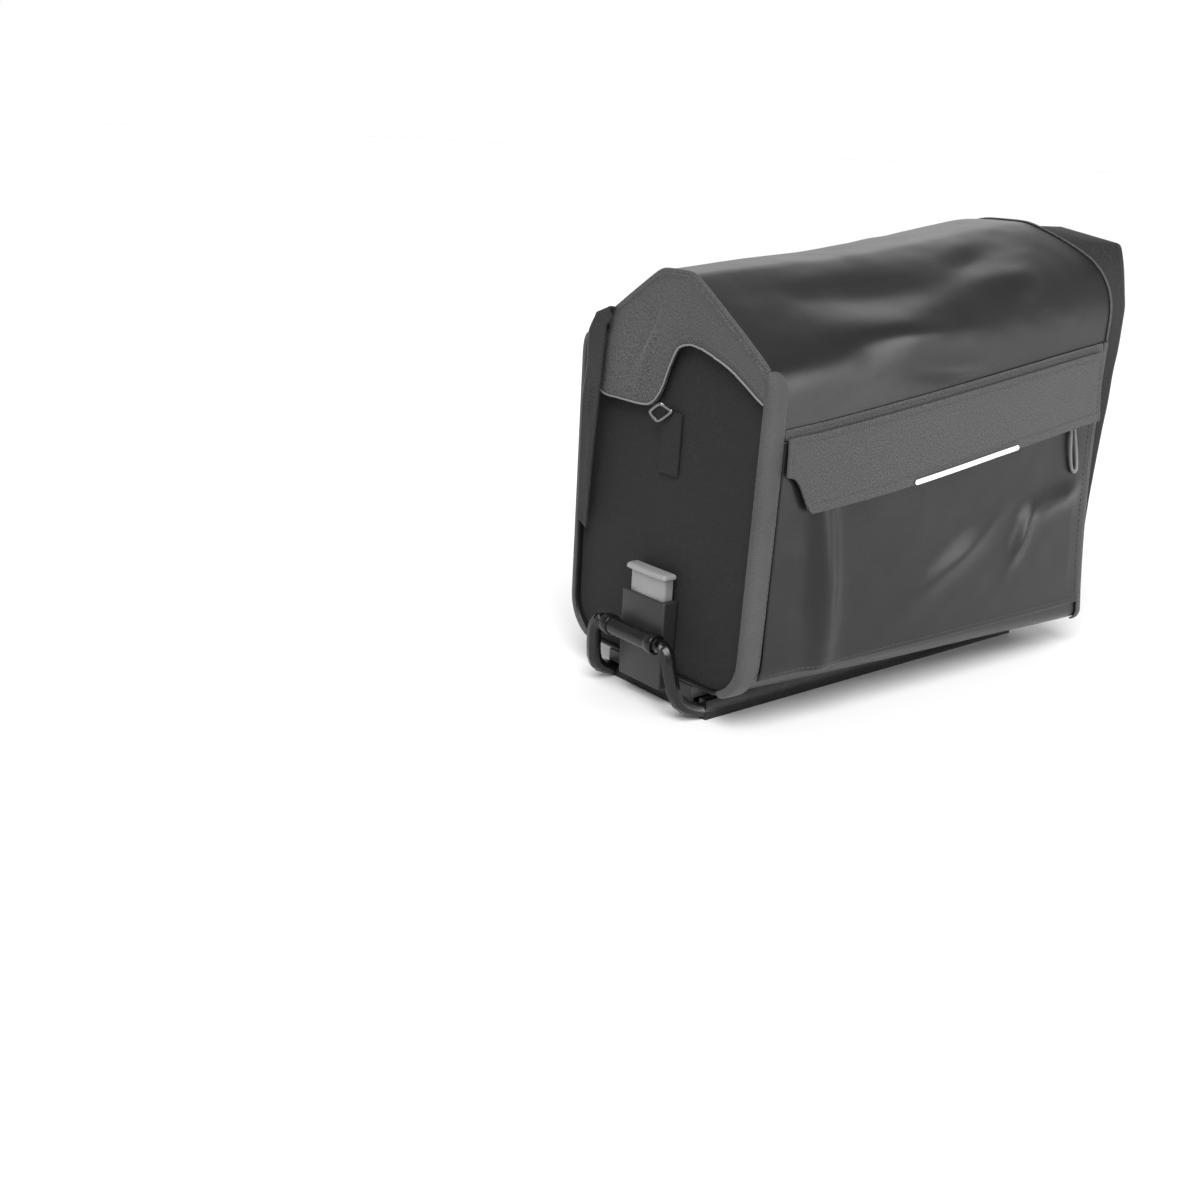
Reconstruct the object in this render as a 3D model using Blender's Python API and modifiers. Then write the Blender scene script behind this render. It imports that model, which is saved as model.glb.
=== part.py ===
"""Bicycle trunk bag standing on its rack plate.

Frame: metres, +Z up, X along the bag with the saddle end at -X, the near side
with the stripe in view at -Y. The origin is under the middle, on the ground.
"""
import math
from collections import namedtuple

import bmesh
import bpy
from mathutils import Vector

# Clearances and cloth walls
GAP = 0.0003
SHEET_GAP = 0.0005
SEAM_GAP = 0.0006
WALL = 0.002
POCKET_WALL = 0.0015
TAPE_WALL = 0.0012
STRIPE_WALL = 0.0010

# The bag
BAG_LENGTH = 0.311
BAG_WIDTH = 0.172
BAG_HEIGHT = 0.256
FRONT_LEAN = 0.004
REAR_LEAN = 0.0215
LEAN_CURVE = 0.7
PANEL_RECESS = 0.003
PANEL_ROWS = 13
GUSSET_SWELL = 0.002

# The rack plate and its front loop
PLATE_LENGTH = 0.288
PLATE_WIDTH = 0.089
PLATE_BASE = 0.006
PLATE_TOP = 0.012
PLATE_SETBACK = 0.006
RIM_WIDTH = 0.006
GROOVE_WIDTH = 0.005
LOOP_REACH = 0.0155
LOOP_HEIGHT = 0.0435
LOOP_HALF = 0.0325
ROD_RADIUS = 0.0044
BAR_RADIUS = 0.0062
COLLAR_LENGTH = 0.006
COLLAR_STEP = 0.0008
SCREW_HOLE_RADIUS = 0.0021
OPEN_HOLE_RADIUS = 0.0040
SCREW_HEAD_RADIUS = 0.0044
SCREW_HEAD_HEIGHT = 0.0018
HEAD_CLEARANCE = 0.0004
SCREW_SPACING = 0.131
HOLE_PITCH = 0.024
SLOT_RADIUS = 0.0045
SLOT_LENGTH = 0.020

# The foot under the bag
FOOT_HEIGHT = 0.008
FOOT_LENGTH = 0.270
RUNNER_WIDTH = 0.003
RUNNER_DEPTH = 0.0035

# Latch block and release button
BLOCK_WIDTH = 0.0372
BLOCK_DEPTH = 0.0110
BLOCK_TOP = 0.0656
BLOCK_ROUND = 0.0012
BUTTON_CLEARANCE = 0.0005
BUTTON_WIDTH = 0.0350
BUTTON_DEPTH = 0.0075
BUTTON_RISE = 0.0159
BUTTON_STEM = 0.0100
BUTTON_TRAVEL = 0.0080
LIP_THICKNESS = 0.0035
LIP_OVERHANG = 0.0024

# Edge tapes, pockets, flaps, stripes and pulls
FRONT_TAPE = 0.0125
REAR_TAPE = 0.004
FRONT_TAPE_FALL = 0.190
TAPE_TURN = 0.0025
TAPE_FIRST_POINT = 4
SLOPE_STEP = 0.002
FLAP_OVER_SEAM = 0.004
BINDING = 0.0035
POCKET_LOW = 0.014
POCKET_FOOT = 0.001
POCKET_ROWS = 9
FLAP_DROP = 0.049
FLAP_STANDOFF = 0.004
STRIPE_HEIGHT = 0.0040
STRIPE_LENGTH = 0.097
STRIPE_MIDDLE = 0.516
PULL_LENGTH = 0.036
PULL_WIDTH = 0.0075
PULL_RADIUS = 0.0011
PULL_PLACE = 0.890
PULL_SLANT = 0.010
PULL_TUCK = 0.006

# The folded closure's hook
WIRE_RADIUS = 0.0011
HOOK_SPAN = 0.014
HOOK_DROP = 0.300
HOOK_PROUD = 0.0042
HOOK_SIDE = 0.003
STRAP_WIDTH = 0.016
STRAP_SIDE = -0.002
STRAP_LENGTH = 0.036

# Worked out from the sizes above
TOTAL_LENGTH = BAG_LENGTH + LOOP_REACH + BAR_RADIUS
BAR_X = -TOTAL_LENGTH / 2 + BAR_RADIUS
FRONT_X = BAR_X + LOOP_REACH
REAR_X = FRONT_X + BAG_LENGTH
HALF = BAG_WIDTH / 2
BASE_Z = PLATE_TOP + FOOT_HEIGHT
MIDDLE = Vector((0.0, 0.0, BASE_Z + BAG_HEIGHT / 2))
NEAR, FAR = -1, 1

# Cross-sections. along is a share of the bag's length from the front. Halves,
# rounds, the side's swell and the roof's dome are shares of half the width,
# heights are shares of the height.
Station = namedtuple(
    "Station",
    "along base_half shoulder_half shoulder ridge_half ridge"
    " base_round shoulder_round ridge_round seam swell dome")
STATIONS = (
    Station(0.00, 0.875, 0.905, 0.720, 0.15, 0.894, 0.30, 0.15, 0.16, 0.585, 0.000, 0.006),
    Station(0.15, 0.890, 0.930, 0.750, 0.17, 0.907, 0.26, 0.24, 0.20, 0.602, 0.020, 0.010),
    Station(0.42, 0.930, 0.970, 0.800, 0.19, 0.930, 0.20, 0.32, 0.26, 0.640, 0.025, 0.016),
    Station(0.72, 0.965, 0.995, 0.855, 0.20, 0.972, 0.15, 0.36, 0.30, 0.682, -0.005, 0.024),
    Station(0.90, 0.985, 1.000, 0.880, 0.20, 0.997, 0.11, 0.36, 0.32, 0.706, -0.035, 0.030),
    Station(1.00, 0.990, 1.000, 0.884, 0.20, 1.000, 0.09, 0.36, 0.32, 0.718, -0.045, 0.032),
)

# Dents and folds. along and high give the middle, as shares of the bag's
# length and height, on the near or far side. reach and spread are half sizes
# along and across the fold, as shares of the length, turn is the fold's slope
# in degrees, and rise is a share of the length, out or in. Toward the ends
# they start and ramp up over shares of the length, and toward the ridge they
# fade over a share of the height.
Fold = namedtuple("Fold", "side along high reach spread turn rise")
LID_FOLDS = (
    Fold(NEAR, 0.260, 0.840, 0.240, 0.050, 2, -0.013),
    Fold(NEAR, 0.320, 0.742, 0.230, 0.026, 0, 0.009),
    Fold(NEAR, 0.680, 0.912, 0.085, 0.040, -12, -0.012),
    Fold(FAR, 0.620, 0.820, 0.200, 0.050, -5, -0.014),
)
POCKET_FOLDS = (
    Fold(NEAR, 0.180, 0.290, 0.170, 0.030, 98, 0.011),
    Fold(NEAR, 0.755, 0.275, 0.070, 0.030, 62, 0.008),
    Fold(NEAR, 0.870, 0.345, 0.110, 0.030, 14, 0.010),
    Fold(NEAR, 0.570, 0.265, 0.120, 0.034, 24, 0.006),
    Fold(FAR, 0.400, 0.300, 0.140, 0.040, 60, 0.007),
)
NO_FOLDS = ()
FOLD_START = 0.06
FOLD_RAMP = 0.08
FOLD_FADE = 0.06

# Columns along the bag that every sheet shares, as shares of the length
COLUMN_SHARES = (0.12, 0.20, 0.28, 0.35, 0.42, 0.49, 0.56, 0.63, 0.70, 0.77, 0.84, 0.91, 0.955)

# The closure's folded end, from the open side with the arch to the side with
# the ear. top is a place on the lid's end, edge and fall give the hem's place:
# both across are shares of half the width, fall is a share of the height
# below the ridge, and proud is how far the hem stands out, as a share of it.
Hem = namedtuple("Hem", "top edge fall proud")
HEMS = (
    Hem(-0.800, -0.820, 0.222, 0.020),
    Hem(-0.690, -0.730, 0.203, 0.022),
    Hem(-0.560, -0.570, 0.174, 0.026),
    Hem(-0.390, -0.390, 0.154, 0.028),
    Hem(-0.220, -0.210, 0.142, 0.030),
    Hem(-0.080, -0.070, 0.152, 0.032),
    Hem(0.020, 0.000, 0.200, 0.036),
    Hem(0.110, 0.100, 0.300, 0.040),
    Hem(0.250, 0.400, 0.295, 0.040),
    Hem(0.390, 0.720, 0.298, 0.034),
    Hem(0.480, 0.670, 0.215, 0.026),
    Hem(0.560, 0.620, 0.150, 0.014),
)

# The squared corner fold beside the flap. drop is a share of the height below
# the ridge, out and back are shares of half the width for the outer corner
# and the return, and stand is the depth beyond the bag's end.
Ear = namedtuple("Ear", "drop root out back stand")
REAR_EAR = (
    Ear(0.012, 0.320, 0.360, 0.30, 0.046),
    Ear(0.025, 0.450, 0.600, 0.42, 0.047),
    Ear(0.041, 0.580, 0.900, 0.60, 0.045),
    Ear(0.117, 0.880, 0.952, 0.66, 0.041),
    Ear(0.185, 0.960, 0.988, 0.72, 0.038),
    Ear(0.298, 0.970, 0.985, 0.75, 0.032),
    Ear(0.465, 0.945, 0.966, 0.78, 0.022),
    Ear(0.609, 0.935, 0.953, 0.82, 0.013),
    Ear(0.757, 0.935, 0.942, 0.86, 0.003),
)
FRONT_EAR = (
    Ear(0.100, 0.480, 0.520, 0.48, 0.006),
    Ear(0.118, 0.560, 0.700, 0.56, 0.013),
    Ear(0.156, 0.680, 0.745, 0.60, 0.014),
    Ear(0.243, 0.720, 0.760, 0.62, 0.014),
    Ear(0.330, 0.740, 0.780, 0.64, 0.014),
    Ear(0.450, 0.770, 0.800, 0.68, 0.010),
    Ear(0.600, 0.790, 0.805, 0.73, 0.003),
)

# The storm flap's outline: place along it and how much of its full drop.
FlapRow = namedtuple("FlapRow", "along drop")
FLAP_FRONT = 0.043
FLAP_REAR = 0.986
FLAP_ROWS = (
    FlapRow(0.000, 0.49),
    FlapRow(0.019, 0.52),
    FlapRow(0.035, 0.64),
    FlapRow(0.048, 0.82),
    FlapRow(0.061, 0.96),
    FlapRow(0.300, 0.98),
    FlapRow(0.600, 0.97),
    FlapRow(1.000, 0.98),
)


def spline_row(rows, along):
    """Read every column of a table between its rows, on a smooth curve."""
    last = len(rows) - 1
    i = 0
    while i < last - 1 and rows[i + 1].along < along:
        i += 1
    a, b = rows[i], rows[i + 1]
    before, after = rows[max(i - 1, 0)], rows[min(i + 2, last)]
    span = b.along - a.along
    t = min(max((along - a.along) / span, 0.0), 1.0)
    values = []
    for column in range(len(a)):
        slope_a = (b[column] - before[column]) / max(b.along - before.along, 1e-6)
        slope_b = (after[column] - a[column]) / max(after.along - a.along, 1e-6)
        values.append(
            a[column] * (2 * t ** 3 - 3 * t ** 2 + 1)
            + b[column] * (3 * t ** 2 - 2 * t ** 3)
            + slope_a * span * (t ** 3 - 2 * t ** 2 + t)
            + slope_b * span * (t ** 3 - t ** 2))
    return type(a)(*values)


def line_value(rows, along, column):
    """Read one column of a table between its rows, on straight lines."""
    for a, b in zip(rows, rows[1:]):
        if along <= b.along:
            t = (along - a.along) / (b.along - a.along)
            return getattr(a, column) + t * (getattr(b, column) - getattr(a, column))
    return getattr(rows[-1], column)


def corner_round(before, corner, after, radius, steps):
    """Points of the arc that rounds one corner of an outline."""
    into = (before - corner).normalized()
    out = (after - corner).normalized()
    half = into.angle(out) / 2
    reach = radius / math.tan(half)
    centre = corner + (into + out).normalized() * (radius / math.sin(half))
    start = corner + into * reach - centre
    end = corner + out * reach - centre
    sweep = start.angle(end)
    points = []
    for i in range(steps + 1):
        t = i / steps
        weight_a = math.sin((1 - t) * sweep) / math.sin(sweep)
        weight_b = math.sin(t * sweep) / math.sin(sweep)
        points.append(centre + start * weight_a + end * weight_b)
    return points


def between(a, b, count):
    """Points strictly between two ends."""
    return [a.lerp(b, i / (count + 1)) for i in range(1, count + 1)]


def seam_height(along):
    """Height of the seam between side and lid."""
    return BASE_Z + spline_row(STATIONS, along).seam * BAG_HEIGHT


def ridge_height(along):
    return BASE_Z + spline_row(STATIONS, along).ridge * BAG_HEIGHT


def half_section(along):
    """Half the outline, (half width, height), from under the bag to the ridge.

    The second value is the number of points that belong to the hull.
    """
    s = spline_row(STATIONS, along)
    floor = Vector((0.0, BASE_Z))
    base = Vector((s.base_half * HALF, BASE_Z))
    shoulder = Vector((s.shoulder_half * HALF, BASE_Z + s.shoulder * BAG_HEIGHT))
    ridge = Vector((s.ridge_half * HALF, BASE_Z + s.ridge * BAG_HEIGHT))
    crown = Vector((0.0, ridge.y))
    low_arc = corner_round(floor, base, shoulder, s.base_round * HALF, 4)
    high_arc = corner_round(base, shoulder, ridge, s.shoulder_round * HALF, 4)
    top_arc = corner_round(shoulder, ridge, crown, s.ridge_round * HALF, 3)
    height = BASE_Z + s.seam * BAG_HEIGHT
    share = (height - low_arc[-1].y) / (high_arc[0].y - low_arc[-1].y)
    seam = low_arc[-1].lerp(high_arc[0], share)
    hull = [floor] + between(floor, low_arc[0], 2) + low_arc
    hull += between(low_arc[-1], seam, 5) + [seam]
    lid = between(seam, high_arc[0], 1) + high_arc
    lid += between(high_arc[-1], top_arc[0], 2) + top_arc
    lid += between(top_arc[-1], crown, 1) + [crown]
    points = hull + lid
    outward = Vector((ridge.y - shoulder.y, shoulder.x - ridge.x)).normalized()
    for point in points:
        share = (point.y - BASE_Z) / (s.shoulder * BAG_HEIGHT)
        point.x += s.swell * HALF * math.sin(math.pi * min(share, 1.0))
        share = max((point.y - shoulder.y) / (ridge.y - shoulder.y), 0.0)
        point += outward * s.dome * HALF * math.sin(math.pi * min(share, 1.0))
    return points, len(hull)


def fold_rise(folds, side, along, height):
    """Height of all dents and folds at one place of one side."""
    total = 0.0
    for f in folds:
        if f.side != side:
            continue
        dx = (along - f.along) * BAG_LENGTH
        dz = height - BASE_Z - f.high * BAG_HEIGHT
        turn = math.radians(f.turn)
        run = (dx * math.cos(turn) + dz * math.sin(turn)) / (f.reach * BAG_LENGTH)
        off = (dz * math.cos(turn) - dx * math.sin(turn)) / (f.spread * BAG_LENGTH)
        total += f.rise * BAG_LENGTH * math.exp(-run * run - off * off)
    ramp = (min(along, 1 - along) - FOLD_START) / FOLD_RAMP
    fade = (ridge_height(along) - height) / (FOLD_FADE * BAG_HEIGHT)
    return total * min(max(ramp, 0.0), 1.0) * min(max(fade, 0.0), 1.0)


def end_x(along, height):
    """X of a place along the bag, whose ends lean in toward the top."""
    share = max(height - BASE_Z, 0.0) / BAG_HEIGHT
    front = FRONT_X + FRONT_LEAN * share
    rear = REAR_X - REAR_LEAN * share ** LEAN_CURVE
    return front + along * (rear - front)


def skin_point(side, along, point, normal, lift, folds=NO_FOLDS):
    """A place on the skin, raised by its folds and by the lift."""
    rise = fold_rise(folds, side, along, point.y) + lift
    y = point.x + normal.x * rise
    z = point.y + normal.y * rise
    return Vector((end_x(along, point.y), side * y, z))


def outline_normals(points):
    """Outward directions of a half outline that runs bottom to top."""
    normals = []
    last = len(points) - 1
    for i in range(last + 1):
        run = points[min(i + 1, last)] - points[max(i - 1, 0)]
        normals.append(Vector((run.y, -run.x)).normalized())
    normals[0] = Vector((0.0, -1.0))
    normals[-1] = Vector((0.0, 1.0))
    return normals


def half_width(along, height, inset=0.0):
    """Half the bag's width at one height, less an inset from its skin."""
    points, _ = half_section(along)
    normals = outline_normals(points)
    shrunk = [p - n * inset for p, n in zip(points, normals)]
    for a, b in zip(shrunk, shrunk[1:]):
        if a.y <= height <= b.y and b.y - a.y > 1e-7:
            return a.x + (b.x - a.x) * (height - a.y) / (b.y - a.y)
    return shrunk[-3].x


def side_point(side, along, height, lift, folds=NO_FOLDS):
    """A place on the side wall at a given height."""
    low = half_width(along, height - SLOPE_STEP)
    high = half_width(along, height + SLOPE_STEP)
    normal = Vector((2 * SLOPE_STEP, low - high)).normalized()
    place = Vector((half_width(along, height), height))
    return skin_point(side, along, place, normal, lift, folds)


def new_collection(name):
    collection = bpy.data.collections.new(name)
    bpy.context.scene.collection.children.link(collection)
    return collection


def put_in(obj, collection):
    for owner in list(obj.users_collection):
        owner.objects.unlink(obj)
    collection.objects.link(obj)


def finish_material(name, color, roughness, metallic=0.0):
    material = bpy.data.materials.new(name)
    material.use_nodes = True
    shader = material.node_tree.nodes["Principled BSDF"]
    shader.inputs["Base Color"].default_value = (*color, 1.0)
    shader.inputs["Roughness"].default_value = roughness
    shader.inputs["Metallic"].default_value = metallic
    return material


def sheet(name, grid, wall, material, even=True):
    """A cloth sheet: an open grid of points, thickened away from the bag."""
    bm = bmesh.new()
    rows = [[bm.verts.new(p) for p in row] for row in grid]
    for row_a, row_b in zip(rows, rows[1:]):
        for i in range(len(row_a) - 1):
            bm.faces.new((row_a[i], row_a[i + 1], row_b[i + 1], row_b[i]))
    bm.normal_update()
    facing = sum(
        f.normal.dot(f.calc_center_median() - MIDDLE) * f.calc_area() for f in bm.faces)
    if facing < 0:
        bmesh.ops.reverse_faces(bm, faces=bm.faces)
    mesh = bpy.data.meshes.new(name)
    bm.to_mesh(mesh)
    bm.free()
    obj = bpy.data.objects.new(name, mesh)
    parts.objects.link(obj)
    mesh.materials.append(material)
    mesh.shade_smooth()
    solid = obj.modifiers.new("cloth wall", "SOLIDIFY")
    solid.thickness = wall
    solid.offset = 1.0
    solid.use_even_offset = even
    obj.modifiers.new("even shading", "WEIGHTED_NORMAL")
    return obj


def box(name, low, high, collection, material=None):
    """A block between two corners, made from the cube primitive."""
    low, high = Vector(low), Vector(high)
    bpy.ops.mesh.primitive_cube_add(size=1.0, location=(low + high) / 2)
    obj = bpy.context.active_object
    obj.name = name
    for vertex in obj.data.vertices:
        for axis in range(3):
            vertex.co[axis] *= high[axis] - low[axis]
    put_in(obj, collection)
    if material:
        obj.data.materials.append(material)
    return obj


def cylinder(name, radius, start, end, sides, collection, material=None):
    """A round bar between two points."""
    start, end = Vector(start), Vector(end)
    run = end - start
    bpy.ops.mesh.primitive_cylinder_add(
        vertices=sides, radius=radius, depth=run.length, location=(start + end) / 2)
    obj = bpy.context.active_object
    obj.name = name
    obj.rotation_euler = run.to_track_quat("Z", "Y").to_euler()
    put_in(obj, collection)
    if material:
        obj.data.materials.append(material)
    return obj


def cut(obj, cutter, operation="DIFFERENCE"):
    """Cut or join one solid with another that stays in the cutters."""
    cutter.hide_render = True
    cutter.display_type = "WIRE"
    boolean = obj.modifiers.new(operation.lower(), "BOOLEAN")
    boolean.operation = operation
    boolean.solver = "EXACT"
    boolean.object = cutter


def soften(obj, width, segments=2, angle=40):
    bevel = obj.modifiers.new("soft edges", "BEVEL")
    bevel.width = width
    bevel.segments = segments
    bevel.limit_method = "ANGLE"
    bevel.angle_limit = math.radians(angle)


def wire(name, route, radius, collection, material, sides=3, cyclic=False):
    """A round wire along a smooth route, turned into a welded mesh."""
    curve = bpy.data.curves.new(name, "CURVE")
    curve.dimensions = "3D"
    curve.bevel_depth = radius
    curve.bevel_resolution = sides
    curve.use_fill_caps = True
    spline = curve.splines.new("POLY")
    spline.points.add(len(route) - 1)
    for place, knot in zip(spline.points, route):
        place.co = (*knot, 1.0)
    spline.use_cyclic_u = cyclic
    guide = bpy.data.objects.new(name + "_guide", curve)
    collection.objects.link(guide)
    bpy.context.view_layer.update()
    mesh = bpy.data.meshes.new_from_object(
        guide.evaluated_get(bpy.context.evaluated_depsgraph_get()))
    bm = bmesh.new()
    bm.from_mesh(mesh)
    bmesh.ops.remove_doubles(bm, verts=bm.verts, dist=1e-6)
    bm.to_mesh(mesh)
    bm.free()
    obj = bpy.data.objects.new(name, mesh)
    obj.matrix_world = guide.matrix_world
    collection.objects.link(obj)
    bpy.data.objects.remove(guide)
    mesh.name = name
    if material:
        mesh.materials.clear()
        mesh.materials.append(material)
    mesh.shade_smooth()
    return obj


def smooth_route(knots, steps):
    """Points on a smooth curve through the knots."""
    last = len(knots) - 1
    points = []
    for i in range(last):
        a, b = Vector(knots[i]), Vector(knots[i + 1])
        before = Vector(knots[max(i - 1, 0)])
        after = Vector(knots[min(i + 2, last)])
        for k in range(steps):
            t = k / steps
            points.append(
                a * (2 * t ** 3 - 3 * t ** 2 + 1) + b * (3 * t ** 2 - 2 * t ** 3)
                + (b - before) * 0.5 * (t ** 3 - 2 * t ** 2 + t)
                + (after - a) * 0.5 * (t ** 3 - t ** 2))
    points.append(Vector(knots[-1]))
    return points


def make_rack_plate():
    """The plate: base, centre deck, side rails, holes and the front loop."""
    start = FRONT_X + PLATE_SETBACK
    end = start + PLATE_LENGTH
    half = PLATE_WIDTH / 2
    plate = box("rack_plate", (start, -half, 0), (end, half, PLATE_BASE), parts, black_metal)
    sunk = PLATE_BASE / 2
    deck_half = half - RIM_WIDTH - GROOVE_WIDTH
    deck = box("deck", (start, -deck_half, sunk), (end, deck_half, PLATE_TOP), cutters)
    cut(plate, deck, "UNION")
    loop_knots = []
    for side in (NEAR, FAR):
        y = sorted((side * half, side * (half - RIM_WIDTH)))
        rim = box("rim", (start, y[0], sunk), (end, y[1], PLATE_TOP), cutters)
        cut(plate, rim, "UNION")
        rise = LOOP_HEIGHT - ROD_RADIUS
        flare = half - ROD_RADIUS - LOOP_HALF
        arm = [
            (start + 2.5 * ROD_RADIUS, side * (half - ROD_RADIUS), 1.2 * ROD_RADIUS),
            (start - 0.2 * PLATE_SETBACK, side * (half - ROD_RADIUS), 1.2 * ROD_RADIUS),
            (BAR_X + 0.34 * LOOP_REACH, side * (half - ROD_RADIUS - 0.3 * flare),
             ROD_RADIUS + 0.22 * rise),
            (BAR_X + 0.04 * LOOP_REACH, side * (half - ROD_RADIUS - 0.7 * flare),
             ROD_RADIUS + 0.66 * rise),
            (BAR_X, side * LOOP_HALF, LOOP_HEIGHT - ROD_RADIUS * 0.8),
            (BAR_X, side * (LOOP_HALF - ROD_RADIUS), LOOP_HEIGHT),
            (BAR_X, side * (LOOP_HALF - 1.8 * ROD_RADIUS), LOOP_HEIGHT),
        ]
        loop_knots += arm if side == NEAR else arm[::-1]
    loop = wire("loop", smooth_route(loop_knots, 3), ROD_RADIUS, cutters, None, 2)
    cut(plate, loop, "UNION")
    middle = (start + end) / 2
    for sign in (-1, 1):
        screw_x = middle + sign * SCREW_SPACING / 2
        for x, radius in ((screw_x, SCREW_HOLE_RADIUS),
                          (screw_x + sign * HOLE_PITCH, OPEN_HOLE_RADIUS)):
            drill = cylinder(
                "drill", radius, (x, 0, -PLATE_TOP), (x, 0, 2 * PLATE_TOP), 16, cutters)
            cut(plate, drill)
        sink = PLATE_TOP - SCREW_HEAD_HEIGHT - 2 * GAP
        head = cylinder("head_seat", SCREW_HEAD_RADIUS + HEAD_CLEARANCE,
                        (screw_x, 0, sink), (screw_x, 0, 2 * PLATE_TOP), 16, cutters)
        cut(plate, head)
        slot_start = start + SLOT_LENGTH * 0.45
        y = sign * (deck_half - SLOT_RADIUS * 1.3)
        slot = wire("slot", [(slot_start, y, -PLATE_TOP), (slot_start, y, 2 * PLATE_TOP)],
                    SLOT_RADIUS, cutters, None, 2)
        slot.name = "slot"
        for vertex in slot.data.vertices:
            reach = (vertex.co.x - slot_start) / SLOT_RADIUS
            if reach > 0.3:
                vertex.co.x = slot_start + reach * SLOT_LENGTH
                vertex.co.y = y + (vertex.co.y - y) * 0.4
        cut(plate, slot)
    return middle


def make_front_bar():
    """The sleeve on the loop's cross rod, with a collar at each end."""
    reach = LOOP_HALF - 2.2 * ROD_RADIUS
    bore = ROD_RADIUS + GAP
    collar = BAR_RADIUS
    waist = BAR_RADIUS - COLLAR_STEP
    outer = [(collar, reach), (collar, reach - COLLAR_LENGTH), (waist, reach - COLLAR_LENGTH),
             (waist, -reach + COLLAR_LENGTH), (collar, -reach + COLLAR_LENGTH), (collar, -reach)]
    ring = outer + [(bore, -reach), (bore, reach)]
    mesh = bpy.data.meshes.new("front_bar")
    edges = [(i, (i + 1) % len(ring)) for i in range(len(ring))]
    mesh.from_pydata([(r, 0, z) for r, z in ring], edges, [])
    obj = bpy.data.objects.new("front_bar", mesh)
    parts.objects.link(obj)
    mesh.materials.append(black_metal)
    turn = obj.modifiers.new("turned", "SCREW")
    turn.steps = turn.render_steps = 16
    turn.use_merge_vertices = True
    turn.merge_threshold = 0.00001
    obj.location = (BAR_X, 0, LOOP_HEIGHT)
    obj.rotation_euler = (math.radians(90), 0, 0)


def make_screws(middle):
    """Pan-head screws, head on the deck and shank in the hole."""
    shank = SCREW_HOLE_RADIUS - GAP
    for name, sign in (("plate_screw_front", -1), ("plate_screw_rear", 1)):
        profile = [(0, SCREW_HEAD_HEIGHT + GAP), (SCREW_HEAD_RADIUS * 0.75, SCREW_HEAD_HEIGHT + GAP),
                   (SCREW_HEAD_RADIUS, GAP + SCREW_HEAD_HEIGHT * 0.4), (SCREW_HEAD_RADIUS, GAP),
                   (shank, GAP), (shank, -PLATE_TOP * 0.6), (0, -PLATE_TOP * 0.6)]
        mesh = bpy.data.meshes.new(name)
        edges = [(i, i + 1) for i in range(len(profile) - 1)]
        mesh.from_pydata([(r, 0, z) for r, z in profile], edges, [])
        obj = bpy.data.objects.new(name, mesh)
        parts.objects.link(obj)
        mesh.materials.append(steel)
        turn = obj.modifiers.new("turned", "SCREW")
        turn.steps = turn.render_steps = 14
        turn.use_merge_vertices = True
        turn.merge_threshold = 0.00001
        seat = PLATE_TOP - SCREW_HEAD_HEIGHT - 2 * GAP
        obj.location = (middle + sign * SCREW_SPACING / 2, 0, seat)


def make_mounting_rail():
    """The foot plate under the bag with two runners in the plate's grooves."""
    half = PLATE_WIDTH / 2
    groove = half - RIM_WIDTH - GROOVE_WIDTH / 2
    low, high = PLATE_TOP + GAP, BASE_Z - GAP
    start, end = FRONT_X, FRONT_X + FOOT_LENGTH
    wide = groove + RUNNER_WIDTH / 2
    foot = box("mounting_rail", (start, -wide, low), (end, wide, high), parts, dark_plastic)
    arm_end = FRONT_X + PLATE_SETBACK + 4 * ROD_RADIUS
    for side in (NEAR, FAR):
        y = sorted((side * (groove - RUNNER_WIDTH / 2), side * wide))
        runner = box("runner", (arm_end, y[0], PLATE_TOP - RUNNER_DEPTH),
                     (end, y[1], (low + high) / 2), cutters)
        cut(foot, runner, "UNION")


def make_latch(name, button_name):
    """The block at the bag's foot and the button that is pressed into it."""
    back = FRONT_X + PANEL_RECESS - GAP
    front = back - BLOCK_DEPTH
    half = BLOCK_WIDTH / 2
    block = box(name, (front, -half, PLATE_TOP + GAP), (back, half, BLOCK_TOP), parts, dark_plastic)
    soften(block, BLOCK_ROUND)
    rebate = box("rebate", (FRONT_X - GAP, -BAG_WIDTH, 0),
                 (FRONT_X + BAG_LENGTH, BAG_WIDTH, BASE_Z + WALL + 2 * GAP), cutters)
    cut(block, rebate)
    mid = (front + back) / 2
    stem_low = BLOCK_TOP - BUTTON_STEM
    well_half = BUTTON_WIDTH / 2 + BUTTON_CLEARANCE - LIP_OVERHANG
    depth = BUTTON_DEPTH / 2 + BUTTON_CLEARANCE
    well = box("well", (mid - depth, -well_half, stem_low - BUTTON_TRAVEL - GAP),
               (mid + depth, well_half, 2 * BLOCK_TOP), cutters)
    cut(block, well)
    body_half = BUTTON_WIDTH / 2 - LIP_OVERHANG
    button = box(button_name, (mid - BUTTON_DEPTH / 2, -body_half, stem_low),
                 (mid + BUTTON_DEPTH / 2, body_half, BLOCK_TOP + BUTTON_RISE - LIP_THICKNESS / 2),
                 parts, grey_plastic)
    lip = box("lip", (front - LIP_OVERHANG * 0.2, -BUTTON_WIDTH / 2,
                      BLOCK_TOP + BUTTON_RISE - LIP_THICKNESS),
              (mid + BUTTON_DEPTH / 2, BUTTON_WIDTH / 2, BLOCK_TOP + BUTTON_RISE), cutters)
    soften(lip, LIP_THICKNESS * 0.3)
    cut(button, lip, "UNION")


def columns(start=0.0, end=1.0):
    """Places along the bag: the shared columns and the edges of the tapes."""
    edges = [0.0, BINDING / BAG_LENGTH, FRONT_TAPE / BAG_LENGTH,
             1 - REAR_TAPE / BAG_LENGTH, 1.0]
    inside = [c for c in sorted(edges + list(COLUMN_SHARES)) if start < c < end]
    return [start] + inside + [end]


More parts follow.
